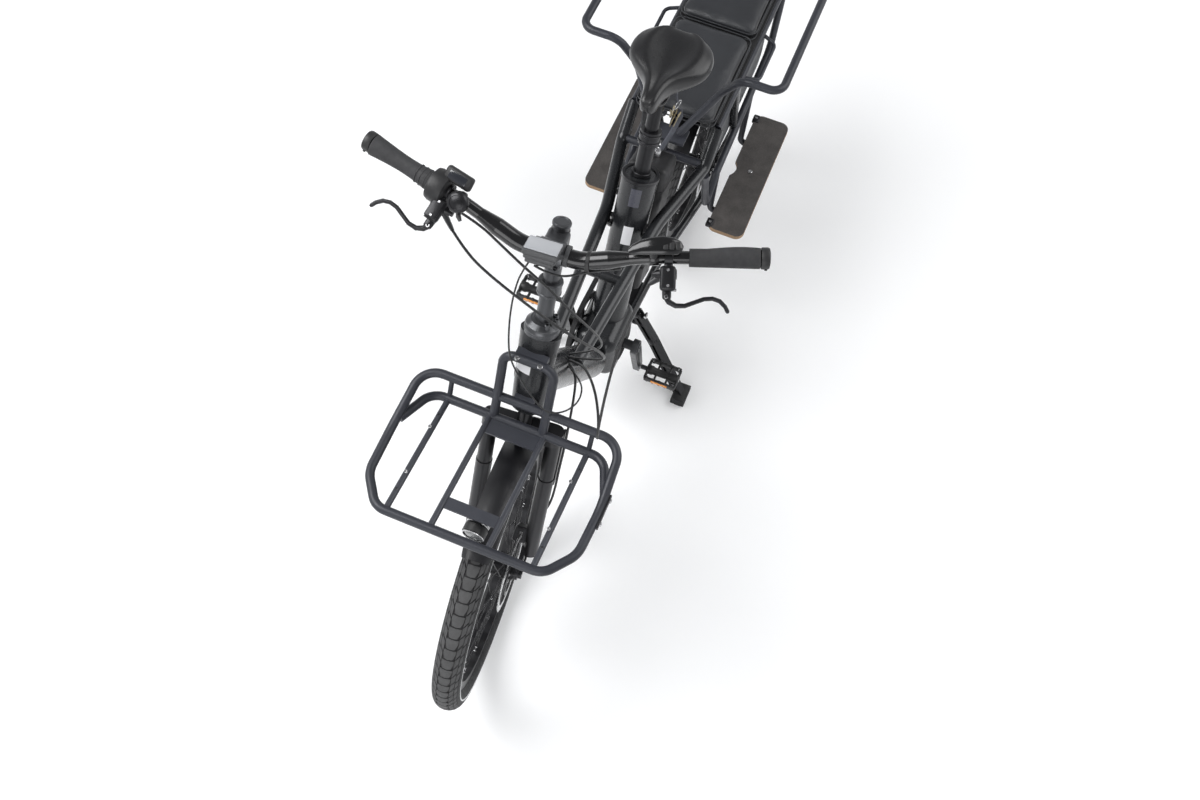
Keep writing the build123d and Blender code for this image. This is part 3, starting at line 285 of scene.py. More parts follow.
look = {
    "frame": surface("frame_paint", (0.014, 0.015, 0.017), 0.27, 0.3, 0.12, 5, 900, 0.08, 0.15, 0.25, 0.35),
    "rack": surface("rack_paint", (0.024, 0.026, 0.034), 0.46, 0.15, 0.12, 7, 500, 0.16, 0.05, 0.2, 0.1),
    "guard": surface("guard_sheet", (0.06, 0.062, 0.067), 0.55, 0.0, 0.1, 5, 600, 0.1),
    "plastic": surface("black_plastic", (0.011, 0.011, 0.012), 0.5, 0.0, 0.2, 20, 1100, 0.22, 0.0, 0.15),
    "fender": surface("fender_satin", (0.008, 0.008, 0.01), 0.42, 0.0, 0.15, 8, 900, 0.07, 0.1, 0.1),
    "gloss": surface("bar_black", (0.008, 0.008, 0.009), 0.2, 0.4, 0.15, 9, 400, 0.02, 0.5),
    "black_metal": surface("black_metal", (0.016, 0.016, 0.018), 0.34, 0.6, 0.15, 14, 900, 0.06, 0.1, 0.3),
    "stem": surface("stem_grey", (0.075, 0.077, 0.082), 0.34, 0.75, 0.08, 9, 1000, 0.06, 0.1, 0.2),
    "steel": surface("brushed_steel", (0.56, 0.56, 0.57), 0.26, 1.0, 0.08, 30, 1600, 0.12),
    # The next two are one black rubber in a darker and a lighter copy: painted shade on the tyre body and in its sunk
    # grooves, painted light on the raised tread blocks.
    "tyre": surface("tyre_rubber_shaded", (0.014, 0.014, 0.015), 0.74, 0.0, 0.22, 26, 900, 0.3, 0.0, 0.25),
    "tread": surface("tread_rubber_lit", (0.044, 0.044, 0.045), 0.72, 0.0, 0.2, 26, 900, 0.3, 0.0, 0.2),
    "housing": surface("display_housing", (0.05, 0.051, 0.054), 0.45, 0.0, 0.1, 20, 900, 0.12),
    "stripe": surface("reflective_band", (0.7, 0.71, 0.72), 0.35, 0.1, 0.05, 30, 900, 0.05),
    "grip": surface("grip_rubber", (0.026, 0.026, 0.028), 0.72, 0.0, 0.15, 18, 1300, 0.35, 0.0, 0.2),
    "hose": surface("hose_jacket", (0.01, 0.01, 0.011), 0.46, 0.0, 0.1, 30, 900, 0.08, 0.15),
    "belt": surface("belt_rubber", (0.017, 0.017, 0.018), 0.62, 0.0, 0.15, 30, 900, 0.2),
    "crank": surface("crank_grey", (0.036, 0.037, 0.04), 0.36, 0.6, 0.12, 12, 900, 0.06, 0.1, 0.3),
    "saddle": leather("saddle_cover", (0.01, 0.01, 0.011), 0.3, 900, 0.00014),
    "pad": leather("pad_vinyl", (0.024, 0.0255, 0.029), 0.42, 1300, 0.00015),
    "wood": plywood(),
    "screen": surface("screen_face", (0.34, 0.35, 0.37), 0.14, 0.0, 0.06, 12, 500, 0.01, 0.8),
    "dark_glass": surface("dark_glass", (0.012, 0.014, 0.02), 0.08, 0.0, 0.1, 12, 500, 0.01, 0.9),
    "orange": lens("orange_reflector", (0.72, 0.25, 0.012), 700),
    "red": lens("red_lens", (0.45, 0.012, 0.01), 500),
    "clear": lens("clear_lens", (0.12, 0.125, 0.13), 350, 0.06, 0.35),
    "label": surface("blank_label", (0.76, 0.76, 0.78), 0.42, 0.0, 0.03, 40, 600, 0.03),
    "grey_label": surface("grey_label", (0.07, 0.072, 0.09), 0.3, 0.0, 0.06, 40, 600, 0.03),
    "brass": surface("key_brass", (0.3, 0.25, 0.15), 0.36, 1.0, 0.15, 60, 900, 0.1, 0.0, 0.3),
    "strap": surface("woven_strap", (0.1, 0.105, 0.125), 0.8, 0.0, 0.15, 60, 900, 0.5),
}
cad_looks = {
    "frame": "head_tube down_tube drive_unit seat_tube side_tubes stay_left stay_right",
    "rack": "rack_rails lower_rails safety_bar safety_bar_foot carrier_rim carrier_base carrier_rods carrier_hoop "
            "carrier_mount",
    "plastic": "rack_deck battery",
    "black_metal": "seat_post stand_hanger stand_legs fork brake_front brake_rear front_axle rear_axle wheel_front "
                   "wheel_rear",
    "guard": "wheel_guards",
    "wood": "footboards",
    "fender": "front_fender rear_fender",
    "gloss": "handlebar",
    "stem": "stem",
    "crank": "crankset",
    "belt": "belt",
}
for key, names in cad_looks.items():
    for name in names.split():
        data = nodes[name].data
        data.materials.clear()
        data.materials.append(look[key])


# ---------------------------------------------------------------- building pieces
def placed(name, data):
    """A new object in the scene."""
    ob = bpy.data.objects.new(name, data)
    scene.collection.objects.link(ob)
    return ob


def baked(ob):
    """A mesh of an object as it stands, with its modifiers."""
    bpy.context.view_layer.update()
    return bpy.data.meshes.new_from_object(ob.evaluated_get(bpy.context.evaluated_depsgraph_get()))


def shade_smooth(mesh):
    mesh.polygons.foreach_set("use_smooth", [True] * len(mesh.polygons))


def subdivide(ob, levels):
    smooth = ob.modifiers.new("smooth", "SUBSURF")
    smooth.levels = smooth.render_levels = levels


def settle(ob, key, body, replaces=(), sharp=35):
    """Gives a new piece its material, smooth shading and body, and hides the parts it replaces."""
    ob.data.materials.append(look[key])
    if ob.type == "MESH":
        shade_smooth(ob.data)
        ob.data.set_sharp_from_angle(angle=radians(sharp))
    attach(ob, body)
    for node in replaces:
        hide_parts(node)
    return ob


def clean(mesh):
    """Merges doubled points and turns the faces outwards."""
    bm = bmesh.new()
    bm.from_mesh(mesh)
    bmesh.ops.remove_doubles(bm, verts=bm.verts, dist=2e-6)
    bmesh.ops.dissolve_degenerate(bm, edges=bm.edges, dist=1e-6)
    bmesh.ops.recalc_face_normals(bm, faces=bm.faces)
    bm.to_mesh(mesh)
    bm.free()


def solid(name, chunks, key, body="frame", replaces=(), sharp=35, levels=0):
    """One piece from one or several (points, faces) chunks."""
    points, faces = [], []
    for chunk_points, chunk_faces in [chunks] if isinstance(chunks, tuple) else chunks:
        start = len(points)
        points += [tuple(p) for p in chunk_points]
        faces += [tuple(start + i for i in face) for face in chunk_faces]
    mesh = bpy.data.meshes.new(name)
    mesh.from_pydata(points, [], faces)
    clean(mesh)
    ob = settle(placed(name, mesh), key, body, replaces, sharp)
    if levels:
        subdivide(ob, levels)
    return ob


def skin(rows, count):
    """Faces between rings of equal count."""
    faces = []
    for row in range(rows - 1):
        for i in range(count):
            a, b = row * count + i, row * count + (i + 1) % count
            faces.append((a, b, b + count, a + count))
    return faces


def lathe(place, profile, segments=28, hexed=()):
    """Turned shape about the frame's z from (radius, along) rows; rows listed in hexed are six-sided."""
    points = []
    for row, (radius, along) in enumerate(profile):
        for turn in turns(segments):
            r = radius
            if row in hexed:
                r *= cos(pi / 6) / cos((turn + pi / 6) % (pi / 3) - pi / 6)
            points.append(point(place, r * cos(turn), r * sin(turn), along))
    return points, skin(len(profile), segments)


def loft(rings, caps=True):
    """Skin over rings of equal count."""
    count = len(rings[0])
    points = [p for r in rings for p in r]
    faces = skin(len(rings), count)
    if caps:
        faces += [tuple(range(count)), tuple(range(len(points) - count, len(points)))]
    return points, faces


def strip(points, closed=True):
    """Skin over rows of four points: under and over at the one side, then at the other."""
    faces = []
    last = len(points) - 4
    for a in range(0, last, 4):
        b = a + 4
        faces += [(a + 1, a + 3, b + 3, b + 1), (a, a + 1, b + 1, b), (a + 2, b + 2, b + 3, a + 3)]
        if closed:
            faces.append((a, b, b + 2, a + 2))
    return points, faces + [(0, 2, 3, 1), (last, last + 1, last + 3, last + 2)]


def facing(at, way):
    """Frame at a point whose z looks along way."""
    return basis(at, ahead if abs(way.normalized().x) < 0.8 else up, way)


def bolt(at, way, radius, height):
    rows = [(0.9, -1), (1, 0), (1, 0.75), (0.86, 1), (0.58, 1), (0.52, 0.35), (0, 0.3)]
    return lathe(facing(at, way), [(r * radius, h * height) for r, h in rows], 24, (4, 5))


def ring(at, way, inner, outer, length, soft=0.8):
    """Collar round an axis, centred on a point."""
    h = length / 2
    rows = [(inner, -h), (outer - soft, -h), (outer, -h + soft), (outer, h - soft), (outer - soft, h), (inner, h)]
    return lathe(facing(at, way), rows + rows[:1], 40)


def round_box(place, size, radius, steps=3):
    size = [s * MM for s in size]
    bm = bmesh.new()
    bmesh.ops.create_cube(bm, size=1)
    for v in bm.verts:
        v.co = Vector([v.co[i] * size[i] for i in range(3)])
    bmesh.ops.bevel(bm, geom=bm.edges[:], offset=min(radius * MM, min(size) * 0.49), segments=steps, profile=0.5,
                    affect="EDGES")
    bm.verts.index_update()
    made = ([place @ v.co for v in bm.verts], [tuple(v.index for v in f.verts) for f in bm.faces])
    bm.free()
    return made


def swept(points, sizes, side, count=14):
    """Flattened bar along points: sizes gives half width and half thickness at each, side is its broad direction."""
    rings = []
    for i, (p, (wide, thick)) in enumerate(zip(points, sizes)):
        way = (points[min(i + 1, len(points) - 1)] - points[max(i - 1, 0)]).normalized()
        across = (side - way * side.dot(way)).normalized()
        over = way.cross(across)
        rings.append([p + across * (wide * MM * cos(t)) + over * (thick * MM * sin(t)) for t in turns(count)])
    return loft(rings)


def curve(name, points, radius, cyclic, sides):
    """Round wire drawn smoothly to its points; it touches the two end points of an open one."""
    data = bpy.data.curves.new(name, "CURVE")
    data.dimensions = "3D"
    data.bevel_depth = radius * MM
    data.bevel_resolution = sides
    data.resolution_u = 10
    data.use_fill_caps = True
    spline = data.splines.new("NURBS")
    spline.points.add(len(points) - 1)
    for target, p in zip(spline.points, points):
        target.co = (*p, 1)
    spline.use_cyclic_u = cyclic
    spline.order_u = 3
    spline.use_endpoint_u = not cyclic
    return data


def wire(name, points, radius, key, body="frame", cyclic=False, sides=4):
    settle(placed(name, curve(name, points, radius, cyclic, sides)), key, body)


def rounded(half_x, half_y, corner, steps):
    """Outline of a rectangle with round corners, about its middle."""
    return [(cx * half_x + corner * cos(turn), cy * half_y + corner * sin(turn))
            for cx, cy, start in ((1, 1, 0), (-1, 1, 1), (-1, -1, 2), (1, -1, 3))
            for turn in (pi / 2 * (start + k / steps) for k in range(steps + 1))]


# ---------------------------------------------------------------- camera, light and floor
def camera():
    eye = Vector((1.432, 0.453, 2.802))
    forward = Vector((-0.444, -0.138, -0.885)).normalized()
    right = Vector((-0.376, 0.925, 0.045))
    data = bpy.data.cameras.new("camera")
    data.sensor_width = 36.0
    data.lens = 36.52
    ob = placed("camera", data)
    ob.matrix_world = basis(eye, right, -forward)
    scene.camera = ob


def area_light(name, at, aim, size, power):
    data = bpy.data.lights.new(name, "AREA")
    data.shape = "SQUARE"
    data.size = size
    data.energy = power
    ob = placed(name, data)
    ob.location = at
    ob.rotation_euler = (Vector(aim) - Vector(at)).to_track_quat("-Z", "Y").to_euler()


def studio():
    """Three soft lamps, a pale world that dims overhead, and a pale floor that looks white and keeps the shadow."""
    area_light("key", (0.9, -2.2, 3.4), (0, 0, 0.4), 2.4, 128)
    area_light("fill", (-1.6, 2.4, 3.0), (0, 0, 0.4), 3.0, 76)
    area_light("front", (3.2, 0.4, 1.6), (0, 0, 0.5), 2.0, 30)
    world = bpy.data.worlds.new("world")
    scene.world = world
    world.use_nodes = True
    tree = world.node_tree
    sky = tree.nodes["Background"].inputs
    sky["Color"].default_value = (0.93, 0.94, 0.96, 1)
    way = put(tree, "ShaderNodeTexCoord", {}, "Generated")
    height = put(tree, "ShaderNodeSeparateXYZ", {"Vector": way}, "Z")
    feed(sky["Strength"], spread(height, 0.85, 0.3, 0.05, 0.6))
    reach = 9
    mesh = bpy.data.meshes.new("floor")
    mesh.from_pydata([(-reach, -reach, 0), (reach, -reach, 0), (reach, reach, 0), (-reach, reach, 0)], [],
                     [(0, 1, 2, 3)])
    floor = placed("floor", mesh)
    mat, sockets, coords = new_material("floor")
    tree = mat.node_tree
    feed(sockets["Base Color"], blend_colours(noise(coords, 0.7), (0.86, 0.865, 0.875), (0.9, 0.905, 0.91)))
    sockets["Roughness"].default_value = 0.42
    sockets["Specular IOR Level"].default_value = 0.3
    seen = put(tree, "ShaderNodeLightPath", {}, "Is Camera Ray")
    for kind in ("Is Glossy Ray", "Is Transmission Ray"):
        other = put(tree, "ShaderNodeLightPath", {}, kind)
        seen = put(tree, "ShaderNodeMath", {0: seen, 1: other}, 0, operation="MAXIMUM")
    feed(sockets["Emission Strength"], spread(seen, 0.0, 0.13, 0, 1))
    sockets["Emission Color"].default_value = (1, 1, 1, 1)
    floor.data.materials.append(mat)
    scene.view_settings.view_transform = "Standard"


# ---------------------------------------------------------------- wheels
def tyre(end, body):
    """Tyre with sunk grooves under raised blocks, and a pale band on each side."""
    place = wheels[end]
    size = local_box("tyre_" + end, place)[1]
    radius, half_width = size.x, size.z
    groove, core, bead, tread_edge = 2.6, 27, 143, 63
    around, across = 144, 34

    def section(phi, sink):
        """Radius and side of the tyre's section: phi in degrees from the tread's middle, sink under the surface."""
        phi = radians(phi)
        return radius - core + (core - sink) * cos(phi), (half_width - sink) * sin(phi)

    def on(turn, phi, sink):
        r, side = section(phi, sink)
        return point(place, r * cos(turn), r * sin(turn), side)

    def block(centre, rows, top):
        """Raised block from rows of (phi, start, end), the last two round the tyre."""
        return strip([on(centre + along / radius, phi, sink) for phi, start, end in rows
                      for along in (start, end) for sink in (groove + 0.3, top)], closed=False)

    rings = []
    for turn in turns(around):
        loop = []
        for k in range(across + 1):
            phi = -bead + 2 * bead * k / across
            loop.append(on(turn, phi, groove if abs(phi) < tread_edge else 0.35))
        rings.append(loop + [point(place, (radius - 44) * cos(turn), (radius - 44) * sin(turn), 0)])
    # The tyre body, its grooves included, takes the darker copy of the rubber: painted shade.
    solid("tyre_body_" + end, loft(rings + rings[:1], caps=False), "tyre", body, ["tyre_" + end], sharp=28)
    chunks = []
    for centre in turns(round(2 * pi * radius / 25.5)):
        rows = [(24.5 * t, -10.4, stop) for t, stop in ((-1, -1), (-0.66, 11.4), (0, 13), (0.66, 11.4), (1, -1))]
        chunks.append(block(centre, rows, 0.1))
        for side, shift in ((-1, 12.5), (1, 0)):
            inner = [(side * (27.5 + 8.5 * t), shift - 12 - 6 * t, shift + 9.2 - 6 * t) for t in range(3)]
            outer = [(side * (47.5 + 7.5 * t), shift - 17 - 4 * t, shift + 3.8 - 4 * t) for t in range(3)]
            chunks += [block(centre, inner, 0.15), block(centre, outer, 0.3)]
    # The raised blocks take the lighter copy of the rubber: painted light.
    solid("tyre_tread_" + end, chunks, "tread", body, sharp=28)
    bands = [lathe(place, [section(side * phi, sink) for phi, sink in ((91, 0.6), (92, 0), (98, 0), (99, 0.6))], around)
             for side in (-1, 1)]
    solid("tyre_band_" + end, bands, "stripe", body)


def rim_details(end, body):
    """Spoke nipples, a valve and the rim's edges."""
    place = wheels[end]
    rim = local_box("wheel_" + end, place)[1].x
    well, spokes, cross = rim - 22, 32, radians(62)
    flange_radius, flange_side = 25, 29
    nipples = []
    rows = [(2.9, -1), (2.9, 1.2), (2.1, 2.2), (1.9, 12), (1.2, 12.6), (0, 12.6)]
    for i, out in enumerate(turns(spokes)):
        side = 1 if i % 2 else -1
        back = out + (1 if (i // 2) % 2 else -1) * cross
        start = point(place, well * cos(out), well * sin(out), side * 4)
        flange = point(place, flange_radius * cos(back), flange_radius * sin(back), side * flange_side)
        nipples.append(lathe(facing(start, flange - start), rows, 10))
    solid("nipples_" + end, nipples, "steel", body)
    turn = turns(spokes, 0.5)[7]
    out = Vector((cos(turn), sin(turn), 0))
    rows = [(4.5, -1), (4.5, 1), (3.2, 3), (3.0, 22), (3.6, 23), (4.0, 24), (4.0, 34), (3.0, 37), (0, 37)]
    solid("valve_" + end, lathe(facing(point(place, *(out * well)), -turned(place, out)), rows, 20), "plastic", body)
    rows = ((-1.2, 17.6), (0.7, 17.6), (0.7, 18.4), (-4, 18.4), (-4, 17.6), (-1.2, 17.6))
    lip = [lathe(place, [(rim + r, side * along) for r, along in rows], 96) for side in (-1, 1)]
    solid("rim_edge_" + end, lip, "black_metal", body)


def flat_shape(name, place, outlines, thickness, key, body, replaces):
    """Plate cut from closed outlines, the inner ones its holes."""
    data = bpy.data.curves.new(name, "CURVE")
    data.dimensions = "2D"
    data.fill_mode = "BOTH"
    data.extrude = thickness / 2 * MM
    for outline in outlines:
        spline = data.splines.new("POLY")
        spline.points.add(len(outline) - 1)
        for target, (x, y) in zip(spline.points, outline):
            target.co = (x * MM, y * MM, 0, 1)
        spline.use_cyclic_u = True
    holder = placed(name + "_flat", data)
    mesh = baked(holder)
    bpy.data.objects.remove(holder)
    mesh.transform(place)
    mesh.materials.clear()
    clean(mesh)
    settle(placed(name, mesh), key, body, replaces)


def rotor(end, body):
    """Brake disc: a waved ring with drilled holes on six curved arms."""
    node = "rotor_" + end
    low, high = local_box(node, wheels[end])
    place = moved(wheels[end], 0, 0, (low.z + high.z) / 2)
    outer = high.x
    inner, hub, waves, hole, thickness = outer - 15, 19, 18, 1.9, 1.8
    edge = [(r * cos(t), r * sin(t)) for r, t in ((outer - 0.6 * (1 - cos(waves * t)), t) for t in turns(180))]
    outlines = [edge, [(inner * cos(t), inner * sin(t)) for t in turns(96)]]
    for i, t in enumerate(turns(36)):
        r = outer - (4.5 if i % 2 else 9.5)
        outlines.append([(r * cos(t) + hole * cos(u), r * sin(t) + hole * sin(u)) for u in turns(10)])
    flat_shape("rotor_ring_" + end, place, outlines, thickness, "steel", body, [node])
    way = turned(place, up)
    chunks = []
    for start in turns(6):
        path = []
        for k in range(7):
            turn = start + 0.55 * (k / 6) ** 2
            r = hub + (inner + 2 - hub) * k / 6
            path.append(point(place, r * cos(turn), r * sin(turn), 0))
        chunks.append(swept(path, [(1, 5.5 - 2 * sin(pi * k / 6)) for k in range(7)], way, 8))
    chunks.append(lathe(place, [(18, -1), (26, -1), (26, 1), (18, 1), (18, -1)], 48))
    solid("rotor_spider_" + end, chunks, "black_metal", body)
    heads = [bolt(point(place, 21.8 * cos(t), 21.8 * sin(t), 1), way, 3.2, 1.8) for t in turns(6, 0.5)]
    solid("rotor_bolts_" + end, heads, "steel", body)


# ---------------------------------------------------------------- hoses, their routes as in the part's source
routes = {
    "hose_rear_brake": [
        (318, 178, 1079), (288, 168, 1043), (255, 160, 995), (212, 160, 950), (165, 165, 905), (130, 170, 855),
        (140, 168, 800), (190, 152, 775), (245, 125, 762), (295, 92, 735), (332, 58, 700), (354, 22, 650)],
    "hose_front_brake_upper": [
        (284, -172, 1079), (262, -135, 1058), (250, -85, 1035), (243, -28, 1008), (246, 28, 965), (262, 66, 915),
        (285, 92, 862), (310, 108, 808), (330, 110, 755), (345, 84, 708), (366, 17, 640)],
    "cable_shift": [
        (315, -185, 1098), (312, -135, 1083), (298, -90, 1068), (283, -40, 1050), (277, 8, 1022), (282, 44, 972),
        (296, 70, 918), (315, 90, 862), (335, 98, 806), (352, 92, 752), (362, 66, 702), (382, 12, 622)],
    "cable_screen": [
        (284, -20, 1094), (270, -38, 1050), (255, -46, 998), (242, -48, 948), (228, -46, 900), (206, -36, 862),
        (190, -10, 830), (176, 24, 796), (168, 56, 771), (188, 88, 768), (232, 100, 752), (286, 80, 724),
        (338, 25, 664)],
    "hose_front_brake_lower": [
        (352, 20, 652), (320, 54, 680), (272, 72, 701), (230, 82, 690), (209, 84, 645), (191, 85, 597),
        (171, 84, 546), (150, 85, 494), (130, 82, 444), (116, 68, 404), (88, 44, 366)],
}


def hose(name, radius, node):
    """Hose drawn along its route as one fixed piece; the part it stands for is hidden."""
    path = placed(name + "_path", curve(name, [here(*p) for p in routes[name]], radius, False, 3))
    ob = placed(name, baked(path))
    bpy.data.objects.remove(path)
    ob.data.materials.append(look["hose"])
    shade_smooth(ob.data)
    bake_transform(ob)
    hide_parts(node)


def hoses():
    high = point(steer, 0, 0, local_box("stem", steer)[1].z - 60)
    low = point(steer, 0, 0, local_box("head_tube", steer)[0].z + 40)
    for name, radius in (("hose_rear_brake", 2.6), ("hose_front_brake_upper", 2.6), ("cable_shift", 2.4),
                         ("cable_screen", 1.7)):
        hose(name, radius, "control_hoses")
    hose("hose_front_brake_lower", 2.6, "front_brake_hose")


# ---------------------------------------------------------------- saddle and passenger pads
def saddle():
    """Padded shell with a channel between two ridges, which open from the nose to the tail."""
    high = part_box("saddle")[1]
    nose = Matrix.Translation((high.x, 0, high.z))
    # behind the nose, half width, top and bottom below the highest point
    stations = [(-1, 5, 25, 36), (2, 11, 18, 42), (9, 17, 11, 47), (24, 19, 7, 50), (42, 22, 5, 50), (58, 27, 3, 49),
                (73, 37, 2, 48), (87, 53, 1, 47), (101, 70, 1, 46), (117, 83, 0, 45), (136, 88, 0, 44),
                (158, 88, 0, 43), (180, 81, 1, 42), (198, 68, 4, 41), (211, 48, 9, 38), (218, 27, 15, 36)]
    rings = []
    for back, half, over, under in stations:
        share = back / stations[-1][0]
        channel = 12 * max(0, sin(pi * min(1, max(0, (share - 0.16) / 0.84)))) ** 0.7
        ridge_at = 0.28 + 0.22 * share
        loop = []
        for k in range(25):
            a = -1 + 2 * k / 24
            lift = -channel * exp(-(a / (0.14 + 0.2 * share)) ** 2) + 5 * share * exp(-((abs(a) - ridge_at) / 0.1) ** 2)
            roll = (under - over) * 0.62 * abs(a) ** 5
            dish = 3.5 * share * exp(-((abs(a) - 0.72) / 0.2) ** 2)
            loop.append(point(nose, -back, half * sin(a * pi / 2 * 0.98), lift - over - roll - dish))
        for k in range(9):
            a = 0.9 - 1.8 * k / 8
            loop.append(point(nose, -(back * 0.985 + 1), half * 0.93 * a, 3 * (1 - a * a) - under))
        rings.append(loop)
    ob = solid("saddle_shell", loft(rings), "saddle", replaces=["saddle"], sharp=80, levels=2)
    path = [(26, 9, 38), (42, 16, 52), (58, 22, 58), (96, 22, 58), (134, 22, 57), (164, 28, 48), (186, 32, 36)]
    for name, side in (("left", 1), ("right", -1)):
        wire("saddle_rail_" + name, [point(nose, -back, side * y, -drop) for back, y, drop in path], 3.5, "black_metal")
    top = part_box("seat_post")[1].z
    post_top = [p for p in node_points("seat_post") if p.z > top - 0.02]
    clamp = Matrix.Translation((mean(post_top).x, 0, top - 3 * MM))
    heads = [bolt(point(clamp, x, 0, 7), up, 5.5, 5) for x in (12, -12)]
    solid("saddle_clamp", [round_box(clamp, (40, 54, 14), 4), *heads], "black_metal")


def slab(low, high, corner, crown):
    """Rounded pad: its sides bulge a little and its top is crowned."""
    half = (high - low) / 2
    centre = (high + low) / 2
    rings = []
    for inset, height in ((30, -1.0), (3, -1.0), (0.6, -0.82), (0, -0.2), (0, 0.35), (1.2, 0.72), (5, 0.92), (14, 1.0),
                          (34, 1.0 + crown), (60, 1.0 + crown)):
        shrink_x, shrink_y = (half.x - inset * MM) / half.x, (half.y - inset * MM) / half.y
        rings.append([Vector((centre.x + x * shrink_x, centre.y + y * shrink_y, centre.z + half.z * height))
                      for x, y in rounded(half.x - corner, half.y - corner, corner, 6)])
    return loft(rings)


cloth_mesh, cloth_frames = 5, 20


def puff(ob, cap):
    """Swells a closed pad as an inflated cloth, with each point's movement capped."""
    remesh = ob.modifiers.new("remesh", "REMESH")
    remesh.mode = "VOXEL"
    remesh.voxel_size = cloth_mesh * MM
    ob.data = baked(ob)
    ob.modifiers.clear()
    rest = [v.co.copy() for v in ob.data.vertices]
    cloth = ob.modifiers.new("cloth", "CLOTH")
    cloth.settings.use_pressure = True
    cloth.settings.uniform_pressure_force = 4
    cloth.settings.effector_weights.gravity = 0
    for number in range(1, cloth_frames + 1):
        scene.frame_set(number)
    swollen = [v.co.copy() for v in baked(ob).vertices]
    ob.modifiers.clear()
    scene.frame_set(1)
    for v, before, after in zip(ob.data.vertices, rest, swollen):
        step = after - before
        v.co = before + step * min(1, cap * MM / max(step.length, 1e-9))
    shade_smooth(ob.data)


def pad(node):
    low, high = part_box(node)
    inset = Vector((3.5, 3.5, 3.5)) * MM
    ob = solid("cushion_" + node, slab(low + inset, high - inset, 20 * MM, 0.06), "pad", replaces=[node], sharp=60)
    puff(ob, 4)
    subdivide(ob, 1)
    middle, half = (low + high) / 2, (high - low) / 2 - Vector((21, 21, 0)) * MM
    for name, height in (("upper", 0.74), ("lower", 0.2)):
        path = [Vector((middle.x + x, middle.y + y, low.z + (high.z - low.z) * height))
                for x, y in rounded(half.x, half.y, 20.5 * MM, 4)]
        wire("welt_" + name + "_" + node, path, 1.5, "pad", cyclic=True, sides=2)


# ---------------------------------------------------------------- grips, levers and controls
control_tilt = radians(45.7)


def bar_side(side):
    """At one grip: the bar's frame at the grip's inner end, the grip's length, and the ways ahead, outwards and up."""
    points = [p for p in node_points("grips") if p.y * side > 0]
    centre = mean(points)
    way = left * side
    for _ in range(40):
        way = sum(((p - centre) * (p - centre).dot(way) for p in points), Vector()).normalized()
    reach = [(p - centre).dot(way) for p in points]
    front = turned(steer, Vector((cos(control_tilt), 0, -sin(control_tilt))))
    front = (front - way * front.dot(way)).normalized()
    rise = front.cross(way) * side
    if rise.z < 0:
        rise = -rise
    return columns(centre + way * min(reach), front, way, rise), (max(reach) - min(reach)) / MM, front, way, rise


def grip(side, name):
    place, length, front, way, rise = bar_side(side)
    rubber = length * 0.885
    back = (-front * 0.75 + rise * 0.65).normalized()
    over = way.cross(back).normalized()
    rings = []
    for k in range(26):
        share = k / 25
        flare = 5.2 * max(0, sin(pi * min(1, max(0, (share - 0.25) / 0.95))))
        body = 15.3 + 1.2 * share
        if side < 0:
            flare *= 0.35
            body = 14.4 + 3.2 * exp(-(share / 0.22) ** 2) + 4.4 * max(0, (share - 0.45) / 0.55) ** 1.6
        at = point(place, 0, rubber * share)
        rings.append([at + (back * ((body + flare * max(0, cos(t)) ** 2) * cos(t)) + over * (body * sin(t))) * MM
                      for t in turns(40)])
    solid("grip_" + name, loft(rings), "grip", "steering", ["grips"], sharp=50)
    if side < 0:
        ribs = []
        for k in range(3):
            rows = [(17.1, -1.2), (17.9, -0.7), (17.9, 0.7), (17.1, 1.2)]
            at = point(place, 0, length * (0.05 + 0.07 * k))
            ribs.append(lathe(facing(at, way), [(r - 0.5 * k, h) for r, h in rows], 40))
        solid("grip_ribs_" + name, ribs, "grip", "steering")
    start = length * 0.9
    end = length - start + 1.5
    rows = [(14, 0), (17.6, 0), (18.2, 1), (18.4, end - 4), (17.2, end - 1.2), (13, end), (6, end), (0, end - 0.6)]
    cap = lathe(facing(point(place, 0, start) + back * 1.6 * MM, way), rows, 40)
    solid("grip_cap_" + name, [cap, bolt(point(place, 18, start + 8), front, 2.4, 1)], "plastic", "steering")


